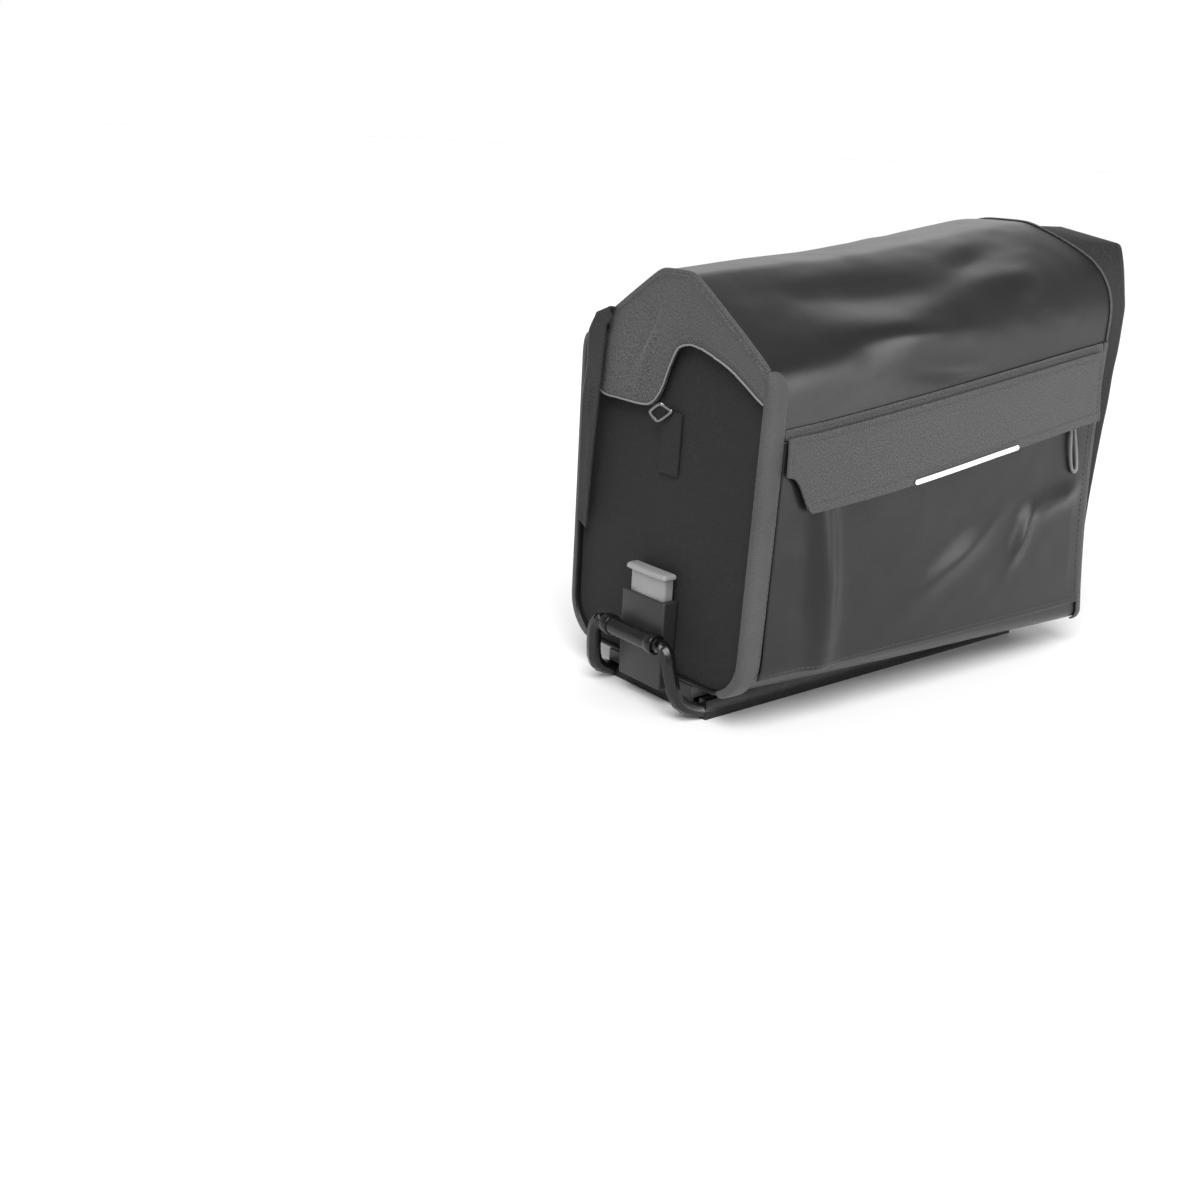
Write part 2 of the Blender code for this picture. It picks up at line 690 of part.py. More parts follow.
def make_hull_and_lid():
    """The sheet under and beside the bag, and the sheet over it."""
    hull, lid = [], []
    for along in columns():
        points, count = half_section(along)
        normals = outline_normals(points)
        sides = {}
        for side in (NEAR, FAR):
            low = [skin_point(side, along, p, n, -WALL)
                   for p, n in zip(points[:count], normals)]
            high = [skin_point(side, along, p, n, -WALL, LID_FOLDS)
                    for p, n in zip(points[count:], normals[count:])]
            sides[side] = (low, [low[-1] + Vector((0, 0, SEAM_GAP))] + high)
        hull.append(sides[NEAR][0][::-1] + sides[FAR][0][1:])
        lid.append(sides[NEAR][1] + sides[FAR][1][:-1][::-1])
    sheet("hull", hull, WALL, coated)
    sheet("lid", lid, WALL, coated)


def make_panel(name, along, sign):
    """An end wall that fills the hull's end, set in by the recess."""
    inset = WALL + GAP
    low = BASE_Z + inset
    high = ridge_height(along) - inset
    grid = []
    for i in range(PANEL_ROWS):
        share = 0.5 - 0.5 * math.cos(math.pi * i / (PANEL_ROWS - 1))
        height = low + (high - low) * share
        wide = half_width(along, height, inset)
        x = end_x(along, height) + sign * (-PANEL_RECESS - WALL)
        grid.append([Vector((x, wide * (j / 4 - 1), height)) for j in range(9)])
    sheet(name, grid, WALL, matte)


def profile_height(along, across, inset):
    """Height of the lid's end outline at a share of half the width."""
    points, _ = half_section(along)
    normals = outline_normals(points)
    shrunk = [p - n * inset for p, n in zip(points, normals)]
    want = abs(across) * HALF
    for a, b in zip(reversed(shrunk[:-1]), reversed(shrunk)):
        if b.x <= want <= a.x:
            return a.y + (b.y - a.y) * (a.x - want) / max(a.x - b.x, 1e-9)
    return shrunk[-1].y


def make_gusset(name, along, sign):
    """The closure's folded end: from the lid's edge down to arch and flap.

    sign is -1 at the front and +1 at the rear, where it is turned half round.
    """
    inset = 2 * WALL + SHEET_GAP
    ridge = ridge_height(along)
    turn = -sign
    grid = []
    for hem in HEMS:
        top_z = profile_height(along, hem.top, inset)
        top = Vector((end_x(along, top_z) - sign * (PANEL_RECESS - SHEET_GAP),
                      turn * hem.top * HALF, top_z))
        low_z = ridge - hem.fall * BAG_HEIGHT
        low = Vector((end_x(along, low_z) + sign * (hem.proud * HALF - PANEL_RECESS),
                      turn * hem.edge * HALF, low_z))
        column = []
        for k in range(6):
            t = k / 5
            place = top.lerp(low, t)
            place.x += sign * GUSSET_SWELL * math.sin(math.pi * t)
            column.append(place)
        grid.append(column)
    sheet(name, grid, WALL, heather)


def make_ear(name, along, sign, rows, stand):
    """A squared corner fold: out along the side, round and back on the end."""
    ridge = ridge_height(along)
    grid = []
    for row in rows:
        height = ridge - row.drop * BAG_HEIGHT
        x = end_x(along, height) + sign * stand
        turn = -sign
        root = Vector((x, turn * row.root * HALF, height))
        out = Vector((x + sign * row.stand * BAG_LENGTH, turn * row.out * HALF, height))
        back = Vector((x + sign * row.stand * BAG_LENGTH * 0.8, turn * row.back * HALF,
                       height - 0.02 * BAG_HEIGHT))
        grid.append([root, out, out.lerp(back, 0.5), back])
    sheet(name, grid, POCKET_WALL, heather, even=False)


def outline_at(along, height):
    """The outline's point and outward direction at one height of the side."""
    points, _ = half_section(along)
    normals = outline_normals(points)
    for a, b, n in zip(points, points[1:], normals):
        if a.y <= height < b.y:
            return a.lerp(b, (height - a.y) / (b.y - a.y)), n
    return points[-1], normals[-1]


def binding_rows(along, foot):
    """Outline of the lid above the foot, near half only."""
    points, _ = half_section(along)
    rows = list(zip(points, outline_normals(points)))
    return [outline_at(along, foot)] + [row for row in rows if row[0].y > foot + SEAM_GAP]


def make_binding(name, along, sign, foot):
    """The bound end of the lid."""
    near, far = [], []
    for k in range(3):
        place = along - sign * BINDING * k / 2 / BAG_LENGTH
        rows = binding_rows(place, foot)
        near.append([skin_point(NEAR, place, p, n, SHEET_GAP) for p, n in rows])
        far.append([skin_point(FAR, place, p, n, SHEET_GAP) for p, n in rows[:-1]])
    sheet(name, [a + b[::-1] for a, b in zip(near, far)], TAPE_WALL, tape_cloth)


def tape_rows(along, top):
    """Outline from the bottom corner up to the tape's end."""
    points, count = half_section(along)
    rows = list(zip(points, outline_normals(points)))[TAPE_FIRST_POINT:count - 1]
    seam = rows[-1][0].y
    steps = [seam + (top - seam) * i / 3 for i in (1, 2, 3)]
    return rows + [outline_at(along, height) for height in steps]


def make_tape(name, side, along, sign, width, top, turned):
    """A corner tape on the side wall, turned round the end if it is wide."""
    grid = []
    for k in range(3):
        place = along - sign * width * (1 - k / 2) / BAG_LENGTH
        grid.append([skin_point(side, place, p, n, SHEET_GAP) for p, n in tape_rows(place, top)])
    if turned:
        out = Vector((sign * SHEET_GAP, 0, 0))
        flat = [skin_point(side, along, p, n, -TAPE_TURN) for p, n in tape_rows(along, top)]
        grid[-1] = [p + out for p in grid[-1]]
        grid.append([p + out for p in flat])
    sheet(name, grid, TAPE_WALL, tape_cloth)


def flap_top(along):
    return seam_height(along) + FLAP_OVER_SEAM


def make_pocket(name, side):
    """The flat outer pocket skin, sewn to the side wall all round."""
    start = (FRONT_TAPE + SHEET_GAP) / BAG_LENGTH
    end = 1 - (REAR_TAPE + 2 * SHEET_GAP) / BAG_LENGTH
    grid = []
    for along in columns(start, end):
        low = BASE_Z + POCKET_LOW
        high = seam_height(along) - WALL
        column = []
        for j in range(POCKET_ROWS):
            share = j / (POCKET_ROWS - 1)
            lift = SHEET_GAP + POCKET_FOOT * (1 - share) ** 4
            height = low + (high - low) * share ** 1.5
            column.append(side_point(side, along, height, lift, POCKET_FOLDS))
        grid.append(column)
    sheet(name, grid, POCKET_WALL, coated)


def flap_lift(share):
    """How far the storm flap stands off, growing toward its hem."""
    base = SHEET_GAP + POCKET_WALL + SHEET_GAP
    return base + FLAP_STANDOFF * share ** 1.5


def flap_edge(along):
    """Height of the flap's hem."""
    share = (along - FLAP_FRONT) / (FLAP_REAR - FLAP_FRONT)
    drop = line_value(FLAP_ROWS, share, "drop") * FLAP_DROP
    return flap_top(along) - drop


def make_flap(name, side):
    grid = []
    wide = FLAP_REAR - FLAP_FRONT
    shares = [row.along for row in FLAP_ROWS[:5]] + [0.16, 0.3, 0.44, 0.58, 0.72, 0.86, 1.0]
    for share in shares:
        along = FLAP_FRONT + share * wide
        drop = line_value(FLAP_ROWS, share, "drop")
        column = []
        for k in range(5):
            part_drop = drop * k / 4
            z = flap_top(along) - part_drop * FLAP_DROP
            column.append(side_point(side, along, z, flap_lift(part_drop)))
        grid.append(column)
    sheet(name, grid, POCKET_WALL, heather)


def make_stripe(name, side):
    """The reflective strip along the flap's hem."""
    half = STRIPE_LENGTH / BAG_LENGTH / 2
    grid = []
    for i in range(7):
        along = STRIPE_MIDDLE + half * (i / 3 - 1)
        low = flap_edge(along) + SHEET_GAP
        column = []
        for k in range(3):
            z = low + STRIPE_HEIGHT * k / 2
            share = (flap_top(along) - z) / FLAP_DROP
            lift = flap_lift(share) + POCKET_WALL + SHEET_GAP
            column.append(side_point(side, along, z, lift))
        grid.append(column)
    sheet(name, grid, STRIPE_WALL, reflective)


def make_zip_pull(name, side):
    """The cord loop that hangs from the hidden zip under the flap."""
    top = flap_edge(PULL_PLACE) + PULL_TUCK
    lift = SHEET_GAP * 2 + POCKET_WALL + PULL_RADIUS
    half = PULL_WIDTH / 2
    knots = []
    for share, wide in ((0.0, 0.25), (0.3, 0.62), (0.65, 0.9), (0.9, 0.85), (1.0, 0.4)):
        knots.append((share, -wide))
    knots += [(share, -wide) for share, wide in reversed(knots)]
    route = []
    for share, wide in knots:
        place = PULL_PLACE + (wide * half + share * PULL_SLANT) / BAG_LENGTH
        height = top - share * PULL_LENGTH
        route.append(side_point(side, place, height, lift, POCKET_FOLDS))
    wire(name, smooth_route(route + [route[0]], 2)[:-1], PULL_RADIUS, parts, tape_cloth, 1, True)


def make_hook(name, along, sign):
    """The strap on the end wall and the wire hook over the flap's corner."""
    turn = -sign
    high = ridge_height(along) - HOOK_DROP * BAG_HEIGHT
    grid = []
    for i in range(6):
        height = high - STRAP_LENGTH * i / 5
        x = end_x(along, height) - sign * (PANEL_RECESS - GAP)
        grid.append([Vector((x, turn * (STRAP_SIDE + STRAP_WIDTH * (j / 3 - 0.5)), height))
                     for j in range(4)])
    sheet(name + "_strap", grid, TAPE_WALL, tape_cloth)
    clear = sign * (WIRE_RADIUS + 2 * GAP)
    strap_face = end_x(along, high) - sign * (PANEL_RECESS - GAP - TAPE_WALL) + clear
    flap_face = end_x(along, high) + sign * (HOOK_PROUD - PANEL_RECESS + WALL) + clear
    half = HOOK_SPAN / 2
    shape = ((-0.9, -0.55, 0), (-0.2, -0.75, 0), (0.35, -0.30, 0.6), (0.75, 0.45, 1),
             (0.30, 0.80, 1), (-0.35, 0.35, 1), (-1.0, 0.0, 0.6))
    knots = []
    for across, up, over in shape:
        x = strap_face + (flap_face - strap_face) * over
        knots.append((x, turn * (half * across + HOOK_SIDE), high + half * up))
    wire(name, smooth_route(knots + [knots[0]], 2)[:-1], WIRE_RADIUS, parts, steel, 1, True)


def clear_scene():
    for obj in list(bpy.data.objects):
        bpy.data.objects.remove(obj, do_unlink=True)


clear_scene()
parts = new_collection("bicycle trunk bag")
cutters = new_collection("cutters")

coated = finish_material("coated cloth", (0.045, 0.045, 0.046), 0.48)
matte = finish_material("matte cloth", (0.028, 0.028, 0.029), 0.72)
heather = finish_material("heather cloth", (0.10, 0.10, 0.10), 0.85)
tape_cloth = finish_material("woven tape", (0.11, 0.11, 0.11), 0.7)
reflective = finish_material("reflective strip", (0.85, 0.85, 0.85), 0.4)
dark_plastic = finish_material("dark plastic", (0.03, 0.03, 0.03), 0.5)
grey_plastic = finish_material("grey plastic", (0.35, 0.35, 0.35), 0.5)
black_metal = finish_material("black metal", (0.012, 0.012, 0.012), 0.35, 0.3)
steel = finish_material("bright steel", (0.75, 0.75, 0.75), 0.25, 1.0)

plate_middle = make_rack_plate()
make_front_bar()
make_screws(plate_middle)
make_mounting_rail()
make_latch("latch_block", "release_button")
make_hull_and_lid()
make_panel("front_panel", 0.0, -1)
make_panel("rear_panel", 1.0, 1)
make_gusset("front_gusset", 0.0, -1)
make_gusset("rear_gusset", 1.0, 1)
make_ear("front_ear", 0.0, -1, FRONT_EAR, 3 * SHEET_GAP + TAPE_WALL)
make_ear("rear_ear", 1.0, 1, REAR_EAR, 2 * SHEET_GAP)
front_tape_end = ridge_height(0) - FRONT_TAPE_FALL * BAG_HEIGHT
rear_tape_end = flap_top(1)
make_binding("front_binding", 0.0, -1, front_tape_end + GAP)
make_binding("rear_binding", 1.0, 1, rear_tape_end + GAP)
for label, hand in (("near", NEAR), ("far", FAR)):
    make_tape(label + "_front_tape", hand, 0.0, -1, FRONT_TAPE, front_tape_end, True)
    make_tape(label + "_rear_tape", hand, 1.0, 1, REAR_TAPE, rear_tape_end, False)
    make_pocket(label + "_pocket", hand)
    make_flap(label + "_flap", hand)
    make_stripe(label + "_stripe", hand)
    make_zip_pull(label + "_zip_pull", hand)
make_hook("front_hook", 0.0, -1)
make_hook("rear_hook", 1.0, 1)
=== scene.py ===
"""Looks of a bicycle trunk bag on its rack plate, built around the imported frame.

Frame: metres, +Z up, X along the bag with the saddle end at -X, the near side
at -Y. Lengths of the bag's form repeat the part's own values.
"""
import math
from collections import namedtuple
from functools import lru_cache

import bmesh
import bpy
import numpy as np
from mathutils import Matrix, Vector


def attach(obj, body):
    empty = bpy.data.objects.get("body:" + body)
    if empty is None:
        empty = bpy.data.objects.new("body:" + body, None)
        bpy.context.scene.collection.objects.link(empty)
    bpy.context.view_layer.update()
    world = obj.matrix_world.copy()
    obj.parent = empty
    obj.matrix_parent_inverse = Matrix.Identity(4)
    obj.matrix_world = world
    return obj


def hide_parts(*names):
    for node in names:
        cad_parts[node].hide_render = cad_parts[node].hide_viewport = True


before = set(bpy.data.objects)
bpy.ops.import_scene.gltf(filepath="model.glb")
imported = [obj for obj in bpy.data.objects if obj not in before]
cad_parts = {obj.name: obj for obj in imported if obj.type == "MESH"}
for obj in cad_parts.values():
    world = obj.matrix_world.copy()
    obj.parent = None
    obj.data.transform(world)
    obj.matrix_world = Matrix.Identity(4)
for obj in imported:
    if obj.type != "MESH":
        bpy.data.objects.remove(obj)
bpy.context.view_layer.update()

# Clearances and cloth walls
SHEET_GAP = 0.0005
SEAM_GAP = 0.0006
GAP = 0.0003
WALL = 0.002
POCKET_WALL = 0.0015
TAPE_WALL = 0.0012
STRIPE_WALL = 0.0010

# The bag
BAG_LENGTH = 0.311
BAG_WIDTH = 0.172
BAG_HEIGHT = 0.256
FRONT_LEAN = 0.004
REAR_LEAN = 0.0215
LEAN_CURVE = 0.7
PANEL_RECESS = 0.003
GUSSET_SWELL = 0.002
PLATE_TOP = 0.012
FOOT_HEIGHT = 0.008
LOOP_REACH = 0.0155
BAR_RADIUS = 0.0062
TOTAL_LENGTH = BAG_LENGTH + LOOP_REACH + BAR_RADIUS
BAR_X = -TOTAL_LENGTH / 2 + BAR_RADIUS
FRONT_X = BAR_X + LOOP_REACH
REAR_X = FRONT_X + BAG_LENGTH
HALF = BAG_WIDTH / 2
BASE_Z = PLATE_TOP + FOOT_HEIGHT
MIDDLE = np.array([0.0, 0.0, BASE_Z + BAG_HEIGHT / 2])
NEAR, FAR = -1, 1
SIDES = (("near", NEAR), ("far", FAR))
# Each end's name, its place along the bag and its direction
ENDS = (("front", 0.0, -1), ("rear", 1.0, 1))

# Tapes, pockets, flaps, stripes, pulls and hooks
FRONT_TAPE = 0.0125
REAR_TAPE = 0.004
FRONT_TAPE_FALL = 0.190
TAPE_TURN = 0.0025
REAR_TURN = 0.0020
TAPE_CAP = 0.0095
TAPE_RISE = 0.005
FLAP_OVER_SEAM = 0.004
POCKET_LOW = 0.014
POCKET_FOOT = 0.001
FLAP_DROP = 0.049
FLAP_STANDOFF = 0.004
STRIPE_HEIGHT = 0.0025
STRIPE_LENGTH = 0.097
STRIPE_MIDDLE = 0.516
PULL_LENGTH = 0.036
PULL_WIDTH = 0.0075
PULL_RADIUS = 0.0011
PULL_PLACE = 0.890
PULL_SLANT = 0.010
PULL_TUCK = 0.006
# The cord loop's knots: share of its length, and of half its width
PULL_SHAPE = (
    (0.0, -0.25), (0.3, -0.62), (0.65, -0.9), (0.9, -0.85), (1.0, -0.4),
    (1.0, 0.4), (0.9, 0.85), (0.65, 0.9), (0.3, 0.62), (0.0, 0.25),
)
WIRE_RADIUS = 0.0011
# The wire loop's knots: across and up from the flap's hem, over the flap or not
HOOK_SHAPE = (
    (0.0090, -0.0018, 1.0), (0.0080, 0.0000, 1.0), (0.0022, 0.0040, 1.0), (0.0000, 0.0040, 0.8),
    (-0.0024, 0.0014, 0.1), (-0.0026, 0.0000, 0.0), (0.0044, -0.0056, 0.3), (0.0064, -0.0054, 0.6),
)
HOOK_DROP = 0.300
HOOK_PROUD = 0.0042
STRAP_WIDTH = 0.016
STRAP_SIDE = -0.002
STRAP_LENGTH = 0.036

# The wrap of the lid's end: how far in from it, out from it and lift, in metres
BINDING_WALL = 0.0007
EDGE_WRAP = (
    (0.0013, 0.0, 0.0001), (0.0009, 0.0, 0.0003), (0.0005, 0.0, 0.0004), (0.0001, 0.0001, 0.0002),
    (0.0, 0.0003, -0.0002), (0.0, 0.0004, -0.0008), (0.0, 0.0003, -0.0014), (0.0, 0.0002, -0.0020),
)
BAND_HEIGHT = 0.0056
BAND_TUCK = 0.0012
BAND_LIFT = 0.0007

# Hard pieces, as in the part
LOOP_HALF = 0.0325
LOOP_HEIGHT = 0.0435
ROD_RADIUS = 0.0044
COLLAR_LENGTH = 0.006
COLLAR_STEP = 0.0008
BLOCK_DEPTH = 0.0110
BLOCK_TOP = 0.0656
BUTTON_WIDTH = 0.0350
BUTTON_DEPTH = 0.0075
BUTTON_RISE = 0.0159
BUTTON_STEM = 0.0100
LIP_THICKNESS = 0.0035
LIP_OVERHANG = 0.0024
BUTTON_ROUND = 0.0024
BUTTON_BOW = 0.0008
BAR_SIDES = 48
EDGE_ANGLE = 38
EDGE_ROUND = 0.0003

# Sewing
THREAD = 0.00028
STITCH = 0.0026
STITCH_PITCH = 0.0035
# One stitch's rings: place along it, thickness and rise, in shares and threads
STITCH_RINGS = (
    (0.0, 0.35, -0.9), (0.14, 0.85, 0.0), (0.5, 1.0, 0.55), (0.86, 0.85, 0.0), (1.0, 0.35, -0.9),
)
THREAD_SIDES = 6
# Each row of stitches: the sheet's edge, how far in, and what stays free at both ends
TAPE_STITCHES = ("start", 0.0016, (0.004, 0.004))
BAND_STITCHES = ("high", 0.0014, (0.003, 0.003))
FLAP_STITCHES = (
    ("low", 0.0030, (0.003, 0.003)), ("start", 0.0030, (0.002, 0.002)),
    ("end", 0.0030, (0.002, 0.002)), ("high", 0.0050, (0.014, 0.003)),
)
POCKET_STITCHES = (("end", 0.0030, (0.003, 0.03)), ("low", 0.0030, (0.003, 0.003)))
CLOSURE_STITCHES = ("high", 0.0035, (0.004, 0.004))
PIPING_ROUTE = ("high", 0.0, (0.002, 0.002))

Station = namedtuple(
    "Station",
    "along base_half shoulder_half shoulder ridge_half ridge"
    " base_round shoulder_round ridge_round seam swell dome")
STATIONS = (
    Station(0.00, 0.875, 0.905, 0.720, 0.15, 0.894, 0.30, 0.15, 0.16, 0.585, 0.000, 0.006),
    Station(0.15, 0.890, 0.930, 0.750, 0.17, 0.907, 0.26, 0.24, 0.20, 0.602, 0.020, 0.010),
    Station(0.42, 0.930, 0.970, 0.800, 0.19, 0.930, 0.20, 0.32, 0.26, 0.640, 0.025, 0.016),
    Station(0.72, 0.965, 0.995, 0.855, 0.20, 0.972, 0.15, 0.36, 0.30, 0.682, -0.005, 0.024),
    Station(0.90, 0.985, 1.000, 0.880, 0.20, 0.997, 0.11, 0.36, 0.32, 0.706, -0.035, 0.030),
    Station(1.00, 0.990, 1.000, 0.884, 0.20, 1.000, 0.09, 0.36, 0.32, 0.718, -0.045, 0.032),
)

# Dents and folds of the cloth, finer than in the part, with the sharpness of their crest
Fold = namedtuple("Fold", "side along high reach spread turn rise sharp")
LID_FOLDS = (
    Fold(NEAR, 0.350, 0.862, 0.170, 0.026, 4, -0.014, 2.0),
    Fold(NEAR, 0.350, 0.785, 0.150, 0.024, 2, 0.014, 1.7),
    Fold(NEAR, 0.460, 0.705, 0.120, 0.026, 0, -0.008, 2.0),
    Fold(NEAR, 0.675, 0.926, 0.080, 0.015, 14, -0.010, 2.0),
    Fold(NEAR, 0.735, 0.880, 0.070, 0.022, 10, 0.010, 2.0),
    Fold(FAR, 0.620, 0.850, 0.180, 0.028, -5, -0.012, 2.0),
    Fold(FAR, 0.560, 0.780, 0.160, 0.024, -3, 0.010, 1.7),
)
POCKET_FOLDS = (
    Fold(NEAR, 0.165, 0.290, 0.180, 0.030, 98, 0.019, 2.0),
    Fold(NEAR, 0.750, 0.275, 0.055, 0.022, 64, 0.015, 1.7),
    Fold(NEAR, 0.880, 0.352, 0.110, 0.024, 10, 0.014, 1.6),
    Fold(NEAR, 0.560, 0.265, 0.120, 0.028, 28, 0.013, 1.8),
    Fold(FAR, 0.400, 0.300, 0.140, 0.040, 60, 0.007, 2.0),
)
FOLD_FADE = 0.012
FOLD_START = 0.01
FOLD_RAMP = 0.10

# The closure from side to side: where it starts on the lid and ends at its hem, in
# half widths, and the hem's fall and how far it stands out
CLOSURE_HEMS = (
    (-0.885, -0.900, 0.236, 0.012),
    (-0.800, -0.820, 0.222, 0.020),
    (-0.690, -0.730, 0.203, 0.022),
    (-0.560, -0.570, 0.174, 0.026),
    (-0.390, -0.390, 0.154, 0.028),
    (-0.220, -0.210, 0.142, 0.030),
    (-0.080, -0.070, 0.152, 0.032),
    (0.020, 0.000, 0.200, 0.036),
    (0.110, 0.100, 0.300, 0.040),
    (0.250, 0.400, 0.295, 0.040),
    (0.390, 0.720, 0.298, 0.034),
    (0.480, 0.670, 0.215, 0.026),
    (0.560, 0.620, 0.150, 0.014),
    (0.640, 0.640, 0.140, 0.004),
)
HEM_ROUNDS = 24
LID_INSET = 0.0012
CLOSURE_SLACK = 0.0011
HEM_ROLL = 0.0006
PIPING = 0.0006
# Creases of the closure: across and fall of the middle, half length and width
# in metres, lean in degrees and rise in metres
CLOSURE_CREASES = (
    (-0.55, 0.115, 0.030, 0.0016, -47, 0.0012),
    (-0.66, 0.160, 0.022, 0.0014, -52, -0.0012),
    (-0.42, 0.105, 0.030, 0.0016, -44, -0.0008),
    (0.18, 0.17, 0.020, 0.0030, -70, 0.0020),
    (0.32, 0.20, 0.024, 0.0035, -55, -0.0014),
    (0.05, 0.09, 0.022, 0.0040, 35, 0.0010),
)

# The corner folds from top to foot: drop, then root, outer and inner edge in half
# widths, and how far the fold stands out
EAR_TUCK = 0.002
REAR_EAR = (
    (0.012, 0.320, 0.360, 0.30, 0.046),
    (0.025, 0.450, 0.600, 0.42, 0.047),
    (0.041, 0.580, 0.900, 0.60, 0.045),
    (0.117, 0.880, 0.952, 0.66, 0.041),
    (0.185, 0.960, 0.988, 0.72, 0.038),
    (0.298, 0.970, 0.985, 0.75, 0.032),
    (0.465, 0.945, 0.966, 0.78, 0.022),
    (0.609, 0.935, 0.953, 0.82, 0.013),
    (0.757, 0.935, 0.942, 0.86, 0.003),
)
FRONT_EAR = (
    (0.100, 0.560, 0.580, 0.56, 0.008),
    (0.118, 0.600, 0.700, 0.60, 0.012),
    (0.156, 0.680, 0.745, 0.60, 0.014),
    (0.243, 0.720, 0.760, 0.62, 0.014),
    (0.330, 0.740, 0.780, 0.64, 0.014),
    (0.450, 0.770, 0.800, 0.68, 0.010),
    (0.600, 0.790, 0.812, 0.72, 0.004),
)

FLAP_FRONT = 0.043
FLAP_REAR = 0.973
FLAP_SPAN = FLAP_REAR - FLAP_FRONT
# The flap's drop at shares of its length
FLAP_PLACES = (0.0, 0.019, 0.035, 0.048, 0.061, 0.3, 0.6, 1.0)
FLAP_DROPS = (0.49, 0.52, 0.64, 0.82, 0.96, 0.98, 0.97, 0.98)
# Widths and heights of rolled hems and folded edges, in metres
FLAP_HEM, FLAP_HEM_ROLL = 0.006, 0.0003
FLAP_FOLD, FLAP_FOLD_RISE = 0.0012, 0.00045
FOLD_STEP = 0.001
CLOSURE_START = 0.0004
CLOSURE_SINK = 0.004
CLOSURE_HEM, CLOSURE_HEM_STEP = 0.005, 0.0015
# Where the slack starts from a seam or an end, and over what it grows
SEAM_HOLD, END_HOLD = 0.006, 0.004
SLACK_FADE, EDGE_FADE = 0.02, 0.015

# Slack of the cloth: waves with their height, two cells in metres and shift
LID_WAVES = ((0.0005, 0.045, 0.03, 1), (0.00025, 0.018, 0.012, 2))
PANEL_WAVES = ((0.0007, 0.05, 0.09, 3), (0.0003, 0.016, 0.03, 4))
EAR_WAVES = ((0.0005, 0.02, 0.02, 8),)
POCKET_WAVES = ((0.0006, 0.05, 0.035, 9), (0.00025, 0.016, 0.014, 10))
FLAP_WAVES = ((0.0007, 0.05, 0.06, 11),)
FLAP_SLACK = ((0.0003, 0.02, 0.02, 12),)

# Points of the half outline in each stretch, from under the bag to the ridge
FLOOR_STEPS, LOW_STEPS, SIDE_STEPS, EDGE_STEPS = 8, 8, 52, 14
SHOULDER_STEPS, ROOF_STEPS, TOP_STEPS, CROWN_STEPS = 16, 28, 12, 5
DOME_ROUNDS = 24
EDGE_POINTS = 110


# The form

def unit(vector):
    return vector / np.linalg.norm(vector)


def unit_rows(vectors):
    return vectors / np.linalg.norm(vectors, axis=1)[:, None]


def distances(points):
    """Lengths along a line, from its start to each of its points."""
    return np.concatenate([[0], np.cumsum(np.linalg.norm(np.diff(points, axis=0), axis=1))])


def read_at(places, keys, table):
    """Every column of a table, read between its rows at some places."""
    return np.column_stack([np.interp(places, keys, column) for column in table.T])


def smooth_between(a, b, slope_a, slope_b, t):
    """A smooth curve's point between two ends with given slopes."""
    return (a * (2 * t ** 3 - 3 * t ** 2 + 1) + b * (3 * t ** 2 - 2 * t ** 3)
            + slope_a * (t ** 3 - 2 * t ** 2 + t) + slope_b * (t ** 3 - t ** 2))


def spline_row(rows, place, key="along"):
    """Read every column of a table between its rows, on a smooth curve."""
    keys = [getattr(row, key) for row in rows]
    last = len(rows) - 1
    i = min(max(int(np.searchsorted(keys, place)) - 1, 0), last - 1)
    low, high = max(i - 1, 0), min(i + 2, last)
    a, b, before, after = (np.array(rows[k]) for k in (i, i + 1, low, high))
    span = keys[i + 1] - keys[i]
    t = min(max((place - keys[i]) / span, 0.0), 1.0)
    slope_a = (b - before) / (keys[i + 1] - keys[low])
    slope_b = (after - a) / (keys[high] - keys[i])
    return type(rows[0])(*smooth_between(a, b, slope_a * span, slope_b * span, t))


def corner_round(before, corner, after, radius, steps):
    """Points of the arc that rounds one corner of an outline."""
    into, out = unit(before - corner), unit(after - corner)
    half = math.acos(float(into @ out)) / 2
    centre = corner + unit(into + out) * (radius / math.sin(half))
    start = corner + into * (radius / math.tan(half)) - centre
    end = corner + out * (radius / math.tan(half)) - centre
    sweep = math.pi - 2 * half
    t = np.linspace(0, 1, steps + 1)[:, None]
    return centre + (start * np.sin((1 - t) * sweep) + end * np.sin(t * sweep)) / math.sin(sweep)


def between(a, b, count):
    """Points strictly between two ends."""
    return a + (b - a) * (np.arange(1, count + 1) / (count + 1))[:, None]


